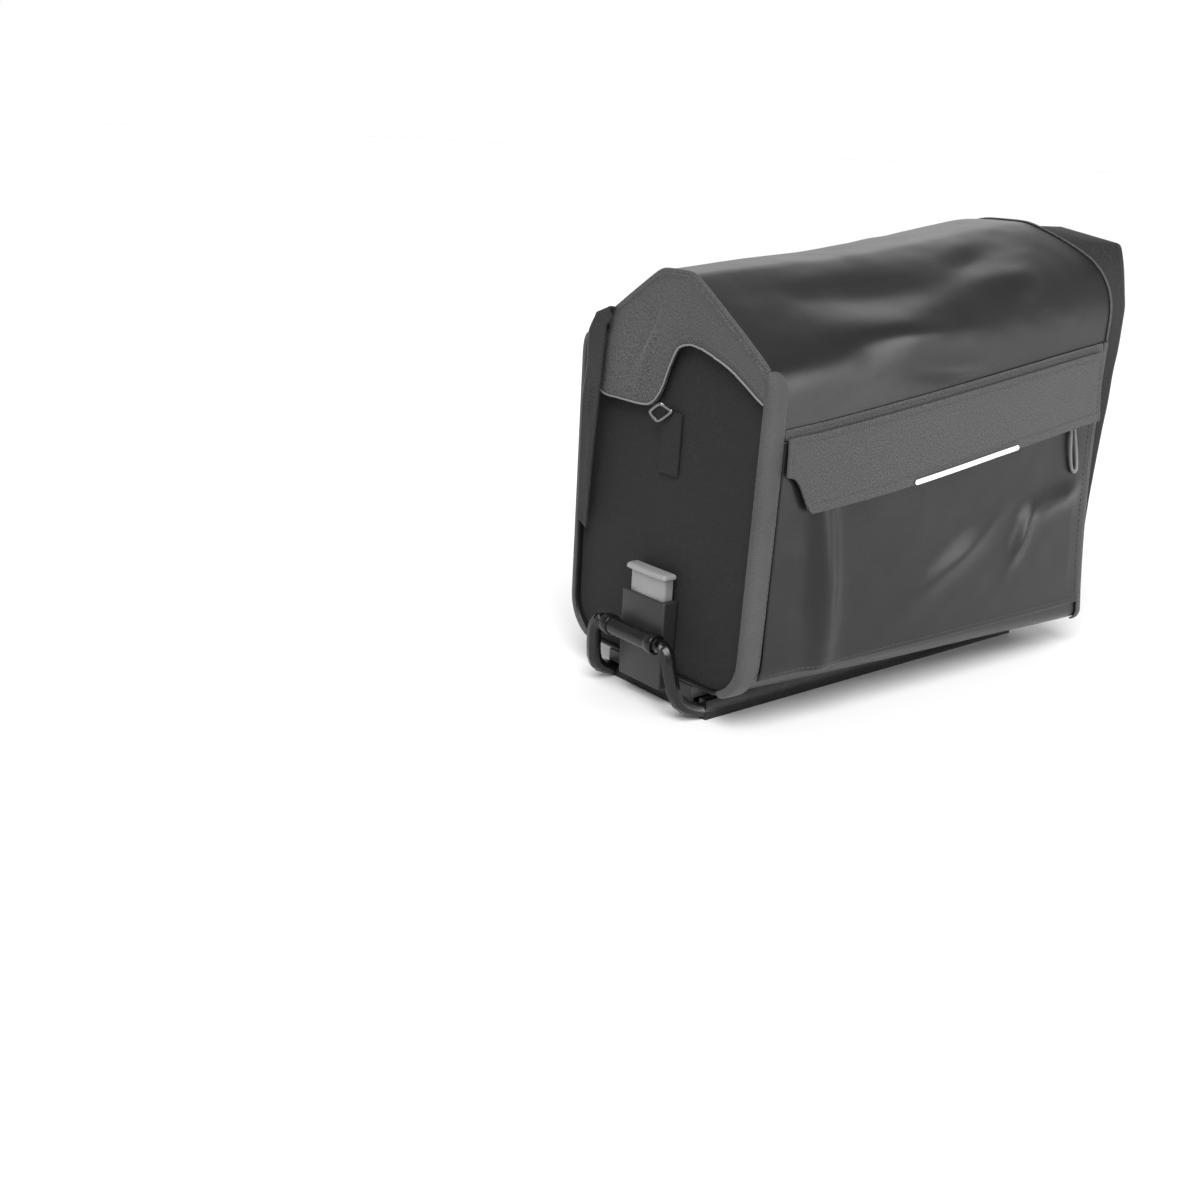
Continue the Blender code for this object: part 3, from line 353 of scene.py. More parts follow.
@lru_cache(maxsize=None)
def outline(along):
    """Half the bag's outline at one place: points, outward directions, seam index."""
    s = spline_row(STATIONS, along)
    floor = np.array([0.0, BASE_Z])
    base = np.array([s.base_half * HALF, BASE_Z])
    shoulder = np.array([s.shoulder_half * HALF, BASE_Z + s.shoulder * BAG_HEIGHT])
    ridge = np.array([s.ridge_half * HALF, BASE_Z + s.ridge * BAG_HEIGHT])
    crown = np.array([0.0, ridge[1]])
    low = corner_round(floor, base, shoulder, s.base_round * HALF, LOW_STEPS)
    high = corner_round(base, shoulder, ridge, s.shoulder_round * HALF, SHOULDER_STEPS)
    top = corner_round(shoulder, ridge, crown, s.ridge_round * HALF, TOP_STEPS)
    share = (BASE_Z + s.seam * BAG_HEIGHT - low[-1, 1]) / (high[0, 1] - low[-1, 1])
    seam = low[-1] + (high[0] - low[-1]) * share
    hull = [floor[None], between(floor, low[0], FLOOR_STEPS), low,
            between(low[-1], seam, SIDE_STEPS), seam[None]]
    lid = [between(seam, high[0], EDGE_STEPS), high, between(high[-1], top[0], ROOF_STEPS),
           top, between(top[-1], crown, CROWN_STEPS), crown[None]]
    points = np.concatenate(hull + lid)
    share = np.minimum((points[:, 1] - BASE_Z) / (s.shoulder * BAG_HEIGHT), 1.0)
    points[:, 0] += s.swell * HALF * np.sin(math.pi * share)
    share = np.clip((points[:, 1] - shoulder[1]) / (ridge[1] - shoulder[1]), 0.0, 1.0)
    outward = unit(np.array([ridge[1] - shoulder[1], shoulder[0] - ridge[0]]))
    points += outward * (s.dome * HALF * np.sin(math.pi * share))[:, None]
    above = sum(len(block) for block in hull) - 1
    points[above:] = relax(points[above:], DOME_ROUNDS)
    run = np.gradient(points, axis=0)
    normals = unit_rows(np.column_stack([run[:, 1], -run[:, 0]]))
    normals[0], normals[-1] = (0.0, -1.0), (0.0, 1.0)
    return points, normals, above


def end_x(along, height):
    """X of a place along the bag, whose ends lean in toward the top."""
    share = np.maximum(height - BASE_Z, 0.0) / BAG_HEIGHT
    front = FRONT_X + FRONT_LEAN * share
    rear = REAR_X - REAR_LEAN * share ** LEAN_CURVE
    return front + along * (rear - front)


def ridge_height(along):
    return BASE_Z + spline_row(STATIONS, along).ridge * BAG_HEIGHT


def seam_height(along):
    return BASE_Z + spline_row(STATIONS, along).seam * BAG_HEIGHT


def place_on(side, along, points, normals, lift):
    """Places on the skin, raised by the lift."""
    y = points[:, 0] + normals[:, 0] * lift
    z = points[:, 1] + normals[:, 1] * lift
    return np.column_stack([end_x(along, points[:, 1]), side * y, z])


def both_sides(along, points, normals, lift):
    """A line over the bag, from the near side's points to the far side's."""
    near = place_on(NEAR, along, points, normals, lift)
    far = place_on(FAR, along, points, normals, lift)
    return np.concatenate([near, far[-2::-1]])


def side_line(along, heights):
    """The outline's points and directions at heights of the side wall."""
    points, normals, _ = outline(along)
    rising = points[FLOOR_STEPS + 1:]
    y = np.interp(heights, rising[:, 1], rising[:, 0])
    turned = read_at(heights, rising[:, 1], normals[FLOOR_STEPS + 1:])
    return np.column_stack([y, heights]), unit_rows(turned)


def on_side(side, along, heights, lift):
    """Places at heights of a side wall, raised by the lift."""
    return place_on(side, along, *side_line(along, heights), lift)


def outline_span(along, first, top, count):
    """Evenly spaced outline points from a point or height up to a height or the crown."""
    points, normals, _ = outline(along)
    run = distances(points)
    heights, above = points[FLOOR_STEPS + 1:, 1], run[FLOOR_STEPS + 1:]
    start = run[first] if isinstance(first, int) else np.interp(first, heights, above)
    end = run[-1] if top is None else np.interp(top, heights, above)
    steps = np.linspace(start, end, count)
    return read_at(steps, run, points), unit_rows(read_at(steps, run, normals))


def fade(distance, over):
    """Grow from 0 to 1 over a distance."""
    return np.clip(distance / over, 0, 1)


def smooth_step(value):
    value = np.clip(value, 0.0, 1.0)
    return value * value * (3 - 2 * value)


def crease(across, up, length, width, lean, sharp):
    """A fold's share of its height: long along its lean, in degrees, and narrow across."""
    lean = math.radians(lean)
    run = (across * math.cos(lean) + up * math.sin(lean)) / length
    off = (up * math.cos(lean) - across * math.sin(lean)) / width
    return np.exp(-run * run - np.abs(off) ** sharp)


def folds_at(folds, side, along, heights):
    """Height of all dents and folds, which fade out toward the ridge."""
    total = np.zeros(len(heights))
    for f in folds:
        if f.side == side:
            dx = (along - f.along) * BAG_LENGTH
            dz = heights - BASE_Z - f.high * BAG_HEIGHT
            total += f.rise * BAG_LENGTH * crease(
                dx, dz, f.reach * BAG_LENGTH, f.spread * BAG_LENGTH, f.turn, f.sharp)
    total *= smooth_step((ridge_height(along) - heights) / FOLD_FADE)
    return total * smooth_step((min(along, 1 - along) - FOLD_START) / FOLD_RAMP)


NOISE_TABLE = np.random.default_rng(7).uniform(-1, 1, (64, 64))


def ripple(u, v, cell_u, cell_v, shift=0):
    """Smooth waves of cloth, between -1 and 1, with cells of the given size."""
    a, b = u / cell_u + 17.3 * shift, v / cell_v + 9.7 * shift
    i, j = np.floor(a).astype(int), np.floor(b).astype(int)
    s, t = a - i, b - j
    s, t = s * s * (3 - 2 * s), t * t * (3 - 2 * t)
    corner = NOISE_TABLE[i % 64, j % 64], NOISE_TABLE[(i + 1) % 64, j % 64]
    other = NOISE_TABLE[i % 64, (j + 1) % 64], NOISE_TABLE[(i + 1) % 64, (j + 1) % 64]
    return ((corner[0] * (1 - s) + corner[1] * s) * (1 - t)
            + (other[0] * (1 - s) + other[1] * s) * t)


def waves(rows, u, v, base=0):
    """Several ripples added up, each over the same base."""
    return sum(height * (base + ripple(u, v, *cells)) for height, *cells in rows)


def relax(grid, rounds):
    """Smooth rows of points or values, the first and last held."""
    grid = np.array(grid, float)
    for _ in range(rounds):
        grid[1:-1] = 0.25 * grid[:-2] + 0.5 * grid[1:-1] + 0.25 * grid[2:]
    return grid


# Mesh making

Surface = namedtuple("Surface", "obj face normal area flat")


def add_object(name, data):
    obj = bpy.data.objects.new(name, data)
    bpy.context.scene.collection.objects.link(obj)
    return obj


def make_object(name, points, faces, material, cloth=None):
    mesh = bpy.data.meshes.new(name)
    mesh.from_pydata(np.asarray(points).tolist(), [], faces)
    mesh.validate()
    mesh.shade_smooth()
    mesh.materials.append(material)
    if cloth is not None:
        layer = mesh.attributes.new("cloth", "FLOAT_VECTOR", "POINT")
        layer.data.foreach_set("vector", np.asarray(cloth, np.float32).ravel())
    return add_object(name, mesh)


def grid_normals(grid):
    normals = np.cross(np.gradient(grid, axis=0), np.gradient(grid, axis=1))
    normals /= np.maximum(np.linalg.norm(normals, axis=2), 1e-12)[..., None]
    return normals


def shell(name, grid, wall, material, thicken=None):
    """A cloth sheet from its inner points: two faces and a rounded rim.

    thicken is an extra height of the outer face, one value for each point.
    """
    grid = np.array(grid, float)
    rows, cols = grid.shape[:2]
    radius = wall / 2
    across = np.swapaxes(grid, 0, 1)
    for lines in (grid, grid[::-1], across, across[::-1]):
        run = lines[1] - lines[0]
        size = np.linalg.norm(run, axis=1)[:, None]
        lines[0] += run * np.minimum(radius / np.maximum(size, 1e-9), 0.45)
    normals = grid_normals(grid)
    flip = np.sum(normals * (grid - MIDDLE)) < 0
    if flip:
        normals = -normals
    depth = wall if thicken is None else wall + np.asarray(thicken)[..., None]
    outer = grid + normals * depth
    steps = [np.linalg.norm(np.diff(outer, axis=k), axis=2).mean(1 - k) for k in (0, 1)]
    u, v = (np.concatenate([[0], np.cumsum(step)]) for step in steps)
    coords = np.zeros((rows, cols, 3))
    coords[..., 0], coords[..., 1] = u[:, None], v[None, :]
    index = np.arange(rows * cols).reshape(rows, cols)
    quads = np.stack([index[:-1, :-1], index[1:, :-1], index[1:, 1:], index[:-1, 1:]], -1)
    quads = quads.reshape(-1, 4)
    ring = np.concatenate([index[:, 0], index[-1, 1:], index[-2::-1, -1], index[0, -2:0:-1]])
    out_dir = np.zeros((rows, cols, 3))
    out_dir[0] += grid[0] - grid[1]
    out_dir[-1] += grid[-1] - grid[-2]
    out_dir[:, 0] += grid[:, 0] - grid[:, 1]
    out_dir[:, -1] += grid[:, -1] - grid[:, -2]
    out_dir = out_dir.reshape(-1, 3)[ring]
    out_dir /= np.maximum(np.linalg.norm(out_dir, axis=1), 1e-12)[:, None]
    inner_edge, outer_edge = grid.reshape(-1, 3)[ring], outer.reshape(-1, 3)[ring]
    centre, arm = (inner_edge + outer_edge) / 2, (outer_edge - inner_edge) / 2
    total = rows * cols
    points = [outer.reshape(-1, 3), grid.reshape(-1, 3)]
    cloth = [coords.reshape(-1, 3), coords.reshape(-1, 3)]
    faces = [quads[:, ::-1] if flip else quads, (quads if flip else quads[:, ::-1]) + total]
    levels = [ring + total]
    for k, angle in enumerate((-45, 0, 45)):
        bend = math.radians(angle)
        points.append(centre + arm * math.sin(bend) + out_dir * radius * math.cos(bend))
        cloth.append(coords.reshape(-1, 3)[ring] + out_dir * radius * (k + 1))
        levels.append(np.arange(len(ring)) + 2 * total + k * len(ring))
    levels.append(ring)
    for a, b in zip(levels, levels[1:]):
        strip = np.stack([a, np.roll(a, -1), np.roll(b, -1), b], -1)
        faces.append(strip[:, ::-1] if flip else strip)
    obj = make_object(name, np.concatenate(points), np.concatenate(faces).tolist(),
                      material, np.concatenate(cloth))
    side_a = np.cross(grid[1:, :-1] - grid[:-1, :-1], grid[1:, 1:] - grid[:-1, :-1])
    side_b = np.cross(grid[1:, 1:] - grid[:-1, :-1], grid[:-1, 1:] - grid[:-1, :-1])
    area = (np.linalg.norm(side_a, axis=2).sum() + np.linalg.norm(side_b, axis=2).sum()) / 2
    return Surface(obj, outer, normals, float(area), (float(u[-1]), float(v[-1])))


def tube(points, radius, sides, closed=False):
    """Points and faces of a round wire along a route."""
    points = np.asarray(points, float)
    count = len(points)
    if closed:
        run = np.roll(points, -1, 0) - np.roll(points, 1, 0)
    else:
        run = np.gradient(points, axis=0)
    run = unit_rows(run)
    side = unit(np.cross(run[0], (0.31, 0.52, 0.79)))
    rings = []
    angles = np.linspace(0, 2 * math.pi, sides, endpoint=False)
    for k in range(count):
        side = unit(side - run[k] * (side @ run[k]))
        other = np.cross(run[k], side)
        rings.append(points[k] + radius * (np.cos(angles)[:, None] * side
                                           + np.sin(angles)[:, None] * other))
    if closed:
        spin = math.atan2(float((rings[0][0] - points[0]) @ other),
                          float((rings[0][0] - points[0]) @ side))
        step = int(round(spin / (2 * math.pi / sides)))
    faces = []
    for k in range(count if closed else count - 1):
        a, b = k * sides, (k + 1) % count * sides
        turn = step if closed and k == count - 1 else 0
        for j in range(sides):
            near = (j + 1) % sides
            faces.append((a + j, a + near, b + (near - turn) % sides, b + (j - turn) % sides))
    if not closed:
        faces.append(tuple(range(sides))[::-1])
        faces.append(tuple(range((count - 1) * sides, count * sides)))
    return np.concatenate(rings), faces


def smooth_loop(knots, steps):
    """Points on a smooth closed curve through the knots."""
    knots = np.asarray(knots, float)
    points = []
    for i in range(len(knots)):
        before, a, b, after = (knots[(i + k) % len(knots)] for k in (-1, 0, 1, 2))
        points += [smooth_between(a, b, (b - before) * 0.5, (after - a) * 0.5, k / steps)
                   for k in range(steps)]
    return np.array(points)


def edge_route(surface, edge, inset, trim=(0.0, 0.0)):
    """A line on a sheet's outer face at a distance from one of its edges.

    edge is "start" or "end" of the grid's rows, or "low" or "high" of its columns.
    """
    face, normal = surface.face, surface.normal
    if edge in ("start", "end"):
        face, normal = np.swapaxes(face, 0, 1), np.swapaxes(normal, 0, 1)
    if edge in ("end", "high"):
        face, normal = face[:, ::-1], normal[:, ::-1]
    points, normals = [], []
    for line, around in zip(face, normal):
        run = distances(line)
        points.append(read_at(inset, run, line)[0])
        normals.append(read_at(inset, run, around)[0])
    points, normals = np.array(points), np.array(normals)
    run = distances(points)
    kept = (run >= trim[0]) & (run <= run[-1] - trim[1])
    return points[kept], normals[kept]


def claim(obj, nodes=(), body="bag"):
    """Say which body a piece rides on, and hide the solids it stands for."""
    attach(obj, body)
    if nodes:
        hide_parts(*nodes)
    return obj


def sew(name, routes):
    """Rows of raised thread along routes on the cloth, as one mesh."""
    points, faces, cloth = [], [], []
    sides, last = THREAD_SIDES, len(STITCH_RINGS) - 1
    turn = np.linspace(0, 2 * math.pi, sides, endpoint=False)
    base = 0
    for route, around in routes:
        run = distances(route)
        for s in np.arange(STITCH_PITCH / 2, run[-1] - STITCH, STITCH_PITCH):
            start, end = read_at([s, s + STITCH], run, route)
            tangent = unit(end - start)
            up = read_at(s + STITCH / 2, run, around)[0]
            up = unit(up - tangent * (up @ tangent))
            side = np.cross(tangent, up)
            for along, thick, rise in STITCH_RINGS:
                centre = read_at(s + STITCH * along, run, route)[0] + up * THREAD * rise
                points.append(centre + THREAD * thick * (
                    np.cos(turn)[:, None] * side + np.sin(turn)[:, None] * up))
                cloth.append(np.column_stack([
                    np.full(sides, s + STITCH * along), turn * THREAD, np.zeros(sides)]))
            for a in range(base, base + last * sides, sides):
                faces += [(a + j, a + (j + 1) % sides, a + sides + (j + 1) % sides, a + sides + j)
                          for j in range(sides)]
            faces.append(tuple(range(base, base + sides))[::-1])
            faces.append(tuple(range(base + last * sides, base + (last + 1) * sides)))
            base += (last + 1) * sides
    claim(make_object(name, np.concatenate(points), faces, sewing, np.concatenate(cloth)))


# Materials

def node(tree, kind, sockets=None, **settings):
    made = tree.nodes.new("ShaderNode" + kind)
    for key, value in settings.items():
        setattr(made, key, value)
    for key, value in (sockets or {}).items():
        if isinstance(value, bpy.types.NodeSocket):
            tree.links.new(value, made.inputs[key])
        else:
            made.inputs[key].default_value = value
    return made


def calc(operation, a, b=0.0):
    return node(a.id_data, "Math", {0: a, 1: b}, operation=operation).outputs[0]


def times(a, b):
    return calc("MULTIPLY", a, b)


def plus(a, b):
    return calc("ADD", a, b)


def grey(value):
    return (value, value, value * 1.01, 1.0)


def mix(factor, a, b):
    """Blend two colours, each a socket or the value of a grey."""
    a, b = (grey(color) if isinstance(color, float) else color for color in (a, b))
    return node(factor.id_data, "Mix", {0: factor, 6: a, 7: b}, data_type="RGBA").outputs[2]


def ramp(value, low, high, out_low=0.0, out_high=1.0):
    """Map a value's range to another, held at its ends."""
    return node(value.id_data, "MapRange", {"Value": value, "From Min": low, "From Max": high,
                                            "To Min": out_low, "To Max": out_high}).outputs[0]


def noise(vector, scale, detail=2.0, rough=0.5):
    return node(vector.id_data, "TexNoise", {"Vector": vector, "Scale": scale, "Detail": detail,
                                             "Roughness": rough}).outputs["Fac"]


def patches(vector, scale, detail):
    return ramp(noise(vector, scale, detail), 0.3, 0.7)


def stretched(vector, scale):
    return node(vector.id_data, "VectorMath", {0: vector, 1: scale}, operation="MULTIPLY").outputs[0]


def rib(vector, axis, pitch):
    """Even threads side by side along one axis, at the given pitch."""
    split = node(vector.id_data, "SeparateXYZ", {0: vector})
    return calc("SINE", times(split.outputs[axis], 2 * math.pi / pitch))


def weave(vector, pitch):
    """Plain weave: threads over and under each other at the given pitch."""
    return times(rib(vector, 0, pitch), rib(vector, 1, pitch))


def start_material(name):
    """A new material and the places on its object."""
    material = bpy.data.materials.new(name)
    material.use_nodes = True
    return material, node(material.node_tree, "TexCoord").outputs["Object"]


def along_cloth(material):
    """Places on the flat cloth, in metres along its threads."""
    return node(material.node_tree, "Attribute", attribute_name="cloth").outputs["Vector"]


def finish_material(material, color, rough, height, distance, strength, **fixed):
    tree = material.node_tree
    shader = tree.nodes["Principled BSDF"]
    bump = node(tree, "Bump", {"Height": height, "Distance": distance, "Strength": strength})
    tree.links.new(color, shader.inputs["Base Color"])
    tree.links.new(rough, shader.inputs["Roughness"])
    tree.links.new(bump.outputs[0], shader.inputs["Normal"])
    for key, value in fixed.items():
        shader.inputs[key.replace("_", " ")].default_value = value
    return material


def coated_cloth(name, shine):
    material, place = start_material(name)
    patch = patches(place, 14, 4)
    grain = noise(place, 1500, 2)
    scuff = ramp(noise(stretched(place, (1.0, 1.0, 3.5)), 60, 6, 0.7), 0.62, 0.78)
    color = mix(ramp(grain, 0.3, 0.7, 0.0, 0.5), mix(patch, 0.007, 0.011), 0.017)
    color = mix(times(scuff, 0.3), color, 0.032)
    rough = plus(ramp(patch, 0, 1, 0.29, 0.34), times(scuff, 0.1))
    height = plus(times(weave(along_cloth(material), 0.0011), 0.25), times(grain, 0.6))
    return finish_material(material, color, rough, height, 0.00012, 0.7, Specular_IOR_Level=shine)


def matte_cloth():
    material, place = start_material("matte_cloth")
    patch = patches(place, 20, 4)
    grain = noise(place, 1100, 3)
    color = mix(ramp(grain, 0.35, 0.7, 0.0, 0.6), mix(patch, 0.010, 0.013), 0.024)
    height = plus(times(weave(along_cloth(material), 0.0014), 0.5), grain)
    return finish_material(material, color, ramp(patch, 0, 1, 0.72, 0.8), height, 0.00018, 0.8,
                           Sheen_Weight=0.04, Sheen_Roughness=0.5, Specular_IOR_Level=0.2)


# shade scales the cloth's colours; a copy below 1 is the same cloth with painted shade.
def heather_cloth(name, shade):
    material, place = start_material(name)
    cloth = along_cloth(material)
    warp = noise(stretched(cloth, (1.0, 2.2, 1.0)), 950, 4, 0.8)
    weft = noise(stretched(cloth, (2.2, 1.0, 1.0)), 950, 4, 0.8)
    yarn = plus(warp, weft)
    speck = ramp(yarn, 0.84, 1.2)
    color = mix(speck, 0.016 * shade, 0.125 * shade)
    color = mix(times(patches(place, 16, 3), 0.25), color, 0.045 * shade)
    height = plus(times(weave(cloth, 0.0012), 0.35), yarn)
    return finish_material(material, color, ramp(speck, 0, 1, 0.88, 0.8), height, 0.00006, 0.6,
                           Sheen_Weight=0.12, Sheen_Roughness=0.45, Specular_IOR_Level=0.25)


def edge_tape():
    material, place = start_material("edge_tape")
    fuzz = noise(place, 1300, 3)
    color = mix(ramp(fuzz, 0.4, 0.75, 0.0, 0.5), mix(patches(place, 30, 3), 0.035, 0.047), 0.085)
    height = plus(times(rib(along_cloth(material), 1, 0.0011), 0.4), fuzz)
    return finish_material(material, color, ramp(fuzz, 0.3, 0.7, 0.6, 0.72), height, 0.0002, 0.8,
                           Sheen_Weight=0.1, Sheen_Roughness=0.4)


def thread():
    material, place = start_material("thread")
    split = node(material.node_tree, "SeparateXYZ", {0: along_cloth(material)})
    turn = times(split.outputs[0], 2 * math.pi / 0.0009)
    twist = calc("SINE", plus(turn, times(split.outputs[1], 1 / THREAD)))
    fuzz = noise(place, 2500, 2)
    return finish_material(material, mix(fuzz, 0.041, 0.077), ramp(fuzz, 0.3, 0.7, 0.55, 0.7),
                           twist, 0.00008, 0.8)


def reflective_strip():
    material, place = start_material("reflective_strip")
    cells = node(material.node_tree, "TexVoronoi", {"Vector": along_cloth(material), "Scale": 1600.0},
                 feature="DISTANCE_TO_EDGE").outputs["Distance"]
    dust = noise(place, 90, 4)
    color = mix(ramp(dust, 0.35, 0.75, 0.0, 0.25), 0.90, 0.80)
    return finish_material(material, color, ramp(dust, 0.3, 0.7, 0.32, 0.42),
                           ramp(cells, 0.0, 0.12), 0.00005, 0.6)


def moulded(name, base, light, rough_low, rough_high, scale=900, depth=0.00008):
    """Moulded plastic with a fine spark grain, flow clouds and light rubbing."""
    material, place = start_material(name)
    grain = noise(place, scale, 4, 0.6)
    rub = ramp(noise(stretched(place, (1, 1, 5)), 140, 5, 0.7), 0.6, 0.8)
    color = mix(times(rub, 0.3), mix(patches(place, 35, 4), base, light), light * 1.5)
    rough = ramp(grain, 0.3, 0.7, rough_low, rough_high)
    return finish_material(material, color, rough, grain, depth, 0.7)


def black_plate():
    """Black-coated alloy with long draw lines and a fine orange peel."""
    material, place = start_material("black_plate")
    lines = noise(stretched(place, (0.04, 1.0, 1.0)), 1400, 3, 0.6)
    dust = ramp(noise(place, 55, 6, 0.7), 0.5, 0.8)
    color = mix(times(dust, 0.2), mix(lines, 0.003, 0.009), 0.03)
    rough = plus(ramp(lines, 0.3, 0.7, 0.18, 0.30), times(dust, 0.15))
    height = plus(times(noise(place, 420, 2), 0.6), times(lines, 0.5))
    return finish_material(material, color, rough, height, 0.00006, 0.6, Specular_IOR_Level=0.38)


def steel(name, shade):
    material, place = start_material(name)
    turned = noise(stretched(place, (1, 1, 12)), 700, 3)
    spots = ramp(noise(place, 240, 5, 0.7), 0.55, 0.8)
    color = mix(times(spots, 0.3), mix(turned, 0.62 * shade, 0.78 * shade), 0.35 * shade)
    rough = plus(ramp(turned, 0.3, 0.7, 0.18, 0.3), times(spots, 0.15))
    return finish_material(material, color, rough, turned, 0.00004, 0.6, Metallic=1.0)


coated, side_cloth = coated_cloth("coated_cloth", 0.42), coated_cloth("side_cloth", 0.30)
matte, tape_cloth = matte_cloth(), edge_tape()
# The second heather is the same cloth at 0.35 of its brightness, painted shade for the corner folds.
heather, painted_shade_heather = heather_cloth("heather_cloth", 1.0), heather_cloth("heather_painted_shade", 0.35)
sewing, reflective, bright = thread(), reflective_strip(), steel("steel", 1.0)
wire_steel = steel("hook_steel", 0.28)
cord = moulded("cord", 0.13, 0.19, 0.6, 0.7, 1200, 0.0002)
# The hem roll's light grey is a painted highlight along the closure's hem.
hem_highlight_paint = moulded("hem_roll_painted_highlight", 0.15, 0.20, 0.5, 0.6, 1400, 0.0001)
dark_plastic = moulded("dark_plastic", 0.014, 0.022, 0.42, 0.55)
grey_plastic = moulded("grey_plastic", 0.22, 0.26, 0.42, 0.52)
plate_black = black_plate()


# Pieces

def settle(surface, nodes=()):
    """Place a cloth piece on the bag and hide the solids it stands for."""
    claim(surface.obj, nodes)
    return surface


def make_hull():
    grid = []
    for along in np.linspace(0, 1, 150):
        points, normals, seam = outline(float(along))
        grid.append(both_sides(along, points[seam::-1], normals[seam::-1], -WALL))
    settle(shell("hull_cloth", grid, WALL, coated), ["hull"])


def make_lid():
    """The coated sheet over the bag, with its dents, folds and slack."""
    grid = []
    for along in np.linspace(0, 1, 200).tolist():
        points, normals, seam = outline(along)
        p, n = points[seam:], normals[seam:]
        run = distances(p)
        edge = min(along, 1 - along) * BAG_LENGTH
        hold = fade(run - SEAM_HOLD, SLACK_FADE) * fade(edge - END_HOLD, SLACK_FADE)
        sides = []
        for side in (NEAR, FAR):
            girth = side * (run[-1] - run)
            slack = waves(LID_WAVES, along * BAG_LENGTH, girth + 1)
            lift = folds_at(LID_FOLDS, side, along, p[:, 1]) + slack * hold - WALL
            line = place_on(side, along, p, n, lift)
            line[0, 2] += SEAM_GAP
            sides.append(line)
        grid.append(np.concatenate([sides[0], sides[1][-2::-1]]))
    settle(shell("lid_cloth", grid, WALL, coated), ["lid"])


def make_panel(end, along, sign):
    """An end wall inside the hull's end."""
    inset, columns = WALL + GAP, 70
    low, high = BASE_Z + inset, ridge_height(along) - inset
    points, normals, _ = outline(along)
    inner = (points - normals * inset)[FLOOR_STEPS + 1:]
    share = 0.5 - 0.5 * np.cos(math.pi * np.linspace(0, 1, 90))
    grid = []
    for height in low + (high - low) * share:
        wide = np.interp(height, inner[:, 1], inner[:, 0])
        y = wide * np.linspace(-1, 1, columns)
        z = np.full(columns, height)
        x = end_x(along, height) + sign * (-PANEL_RECESS - WALL)
        hold = fade(wide - np.abs(y), EDGE_FADE) * fade(height - low, SLACK_FADE)
        grid.append(np.column_stack([
            x - sign * np.abs(waves(PANEL_WAVES, y + 1, z)) * hold, y, z]))
    settle(shell(end + "_wall", grid, WALL, matte), [end + "_panel"])


def make_gusset(end, along, sign):
    """The closure's folded end, from the lid's edge down to arch and flap."""
    ridge, turn = ridge_height(along), -sign
    points, normals, _ = outline(along)
    inner = points - normals * LID_INSET
    widest = int(np.argmax(inner[:, 0]))
    hems = np.array(CLOSURE_HEMS)
    rows = read_at(np.linspace(0, len(hems) - 1, 150), range(len(hems)), hems)
    grid, extra = [], []
    t = np.linspace(0, 1, 64)
    for top, edge, fall, proud in relax(rows, HEM_ROUNDS):
        top_z = np.interp(abs(top) * HALF, inner[widest:, 0][::-1], inner[widest:, 1][::-1])
        low_z = ridge - fall * BAG_HEIGHT
        start = np.array([end_x(along, top_z) + sign * CLOSURE_START, turn * top * HALF, top_z])
        stop = np.array([end_x(along, low_z) + sign * (proud * HALF - PANEL_RECESS),
                         turn * edge * HALF, low_z])
        line = start + (stop - start) * t[:, None]
        size = np.linalg.norm(stop - start)
        sunk = PANEL_RECESS * (1 - np.exp(-t * size / CLOSURE_SINK))
        sunk *= 1 - smooth_step(t * 1.3 - 0.3)
        line[:, 0] += sign * (GUSSET_SWELL * np.sin(math.pi * t) - sunk)
        y, z = line[:, 1] * turn, line[:, 2]
        slack = CLOSURE_SLACK * (ripple(y + z * 0.5 + 1, z - y * 0.5 + 1, 0.020, 0.034, 5)
                                 + 0.5 * ripple(y + 1, z, 0.010, 0.016, 6))
        for across, drop, length, width, lean, rise in CLOSURE_CREASES:
            slack = slack + rise * crease(
                y - across * HALF, z - (ridge - drop * BAG_HEIGHT), length, width, lean, 1.5)
        line[:, 0] += sign * slack * np.minimum(t / 0.12, 1) * min(size / 0.045, 1) ** 2
        grid.append(line)
        extra.append(HEM_ROLL * smooth_step((t * size - size + CLOSURE_HEM) / CLOSURE_HEM_STEP))
    return settle(shell(end + "_closure", grid, WALL, heather, np.array(extra)),
                  [end + "_gusset"])


def make_ear(end, along, sign, table, stand):
    """A squared corner fold: out along the side, round and back on the end."""
    ridge, turn = ridge_height(along), -sign
    table = np.array(table)
    drops = table[:, 0]
    steps = np.interp(np.linspace(0, len(table) - 1, 90), range(len(table)), drops)
    points = outline(along)[0][FLOOR_STEPS + 1:]
    t = np.concatenate([np.linspace(0, 1, 16), np.linspace(1, 2, 24)[1:]])
    grid = []
    for drop, root, out, back, reach in relax(read_at(steps, drops, table), 1):
        height = ridge - drop * BAG_HEIGHT
        root = min(root * HALF, np.interp(height, points[:, 1], points[:, 0]) - EAR_TUCK)
        x = end_x(along, height) + sign * stand
        deep = sign * reach * BAG_LENGTH
        line = read_at(t, (0, 1, 2), np.array([
            (x, turn * root, height),
            (x + deep, turn * out * HALF, height),
            (x + deep * 0.8, turn * back * HALF, height - 0.02 * BAG_HEIGHT)]))
        slack = waves(EAR_WAVES, np.linspace(0, 0.08, len(t)), np.full(len(t), height))
        line[:, 0] += sign * slack * np.sin(math.pi * t / 2)
        grid.append(relax(line, 1))
    # The corner fold is clad in the darker heather copy, painted shade.
    settle(shell(end + "_corner_fold", grid, POCKET_WALL, painted_shade_heather),
           [end + "_ear"])


def make_binding(end, along, sign, foot):
    """The closure's cloth sewn round the lid's end, over its edge and in."""
    grid = []
    for reach, out, lift in EDGE_WRAP:
        place = along - sign * reach / BAG_LENGTH
        line = both_sides(place, *outline_span(place, foot, None, EDGE_POINTS), lift)
        line[:, 0] += sign * out
        grid.append(line)
    settle(shell(end + "_lid_binding", grid, BINDING_WALL, heather),
           [end + "_binding"])


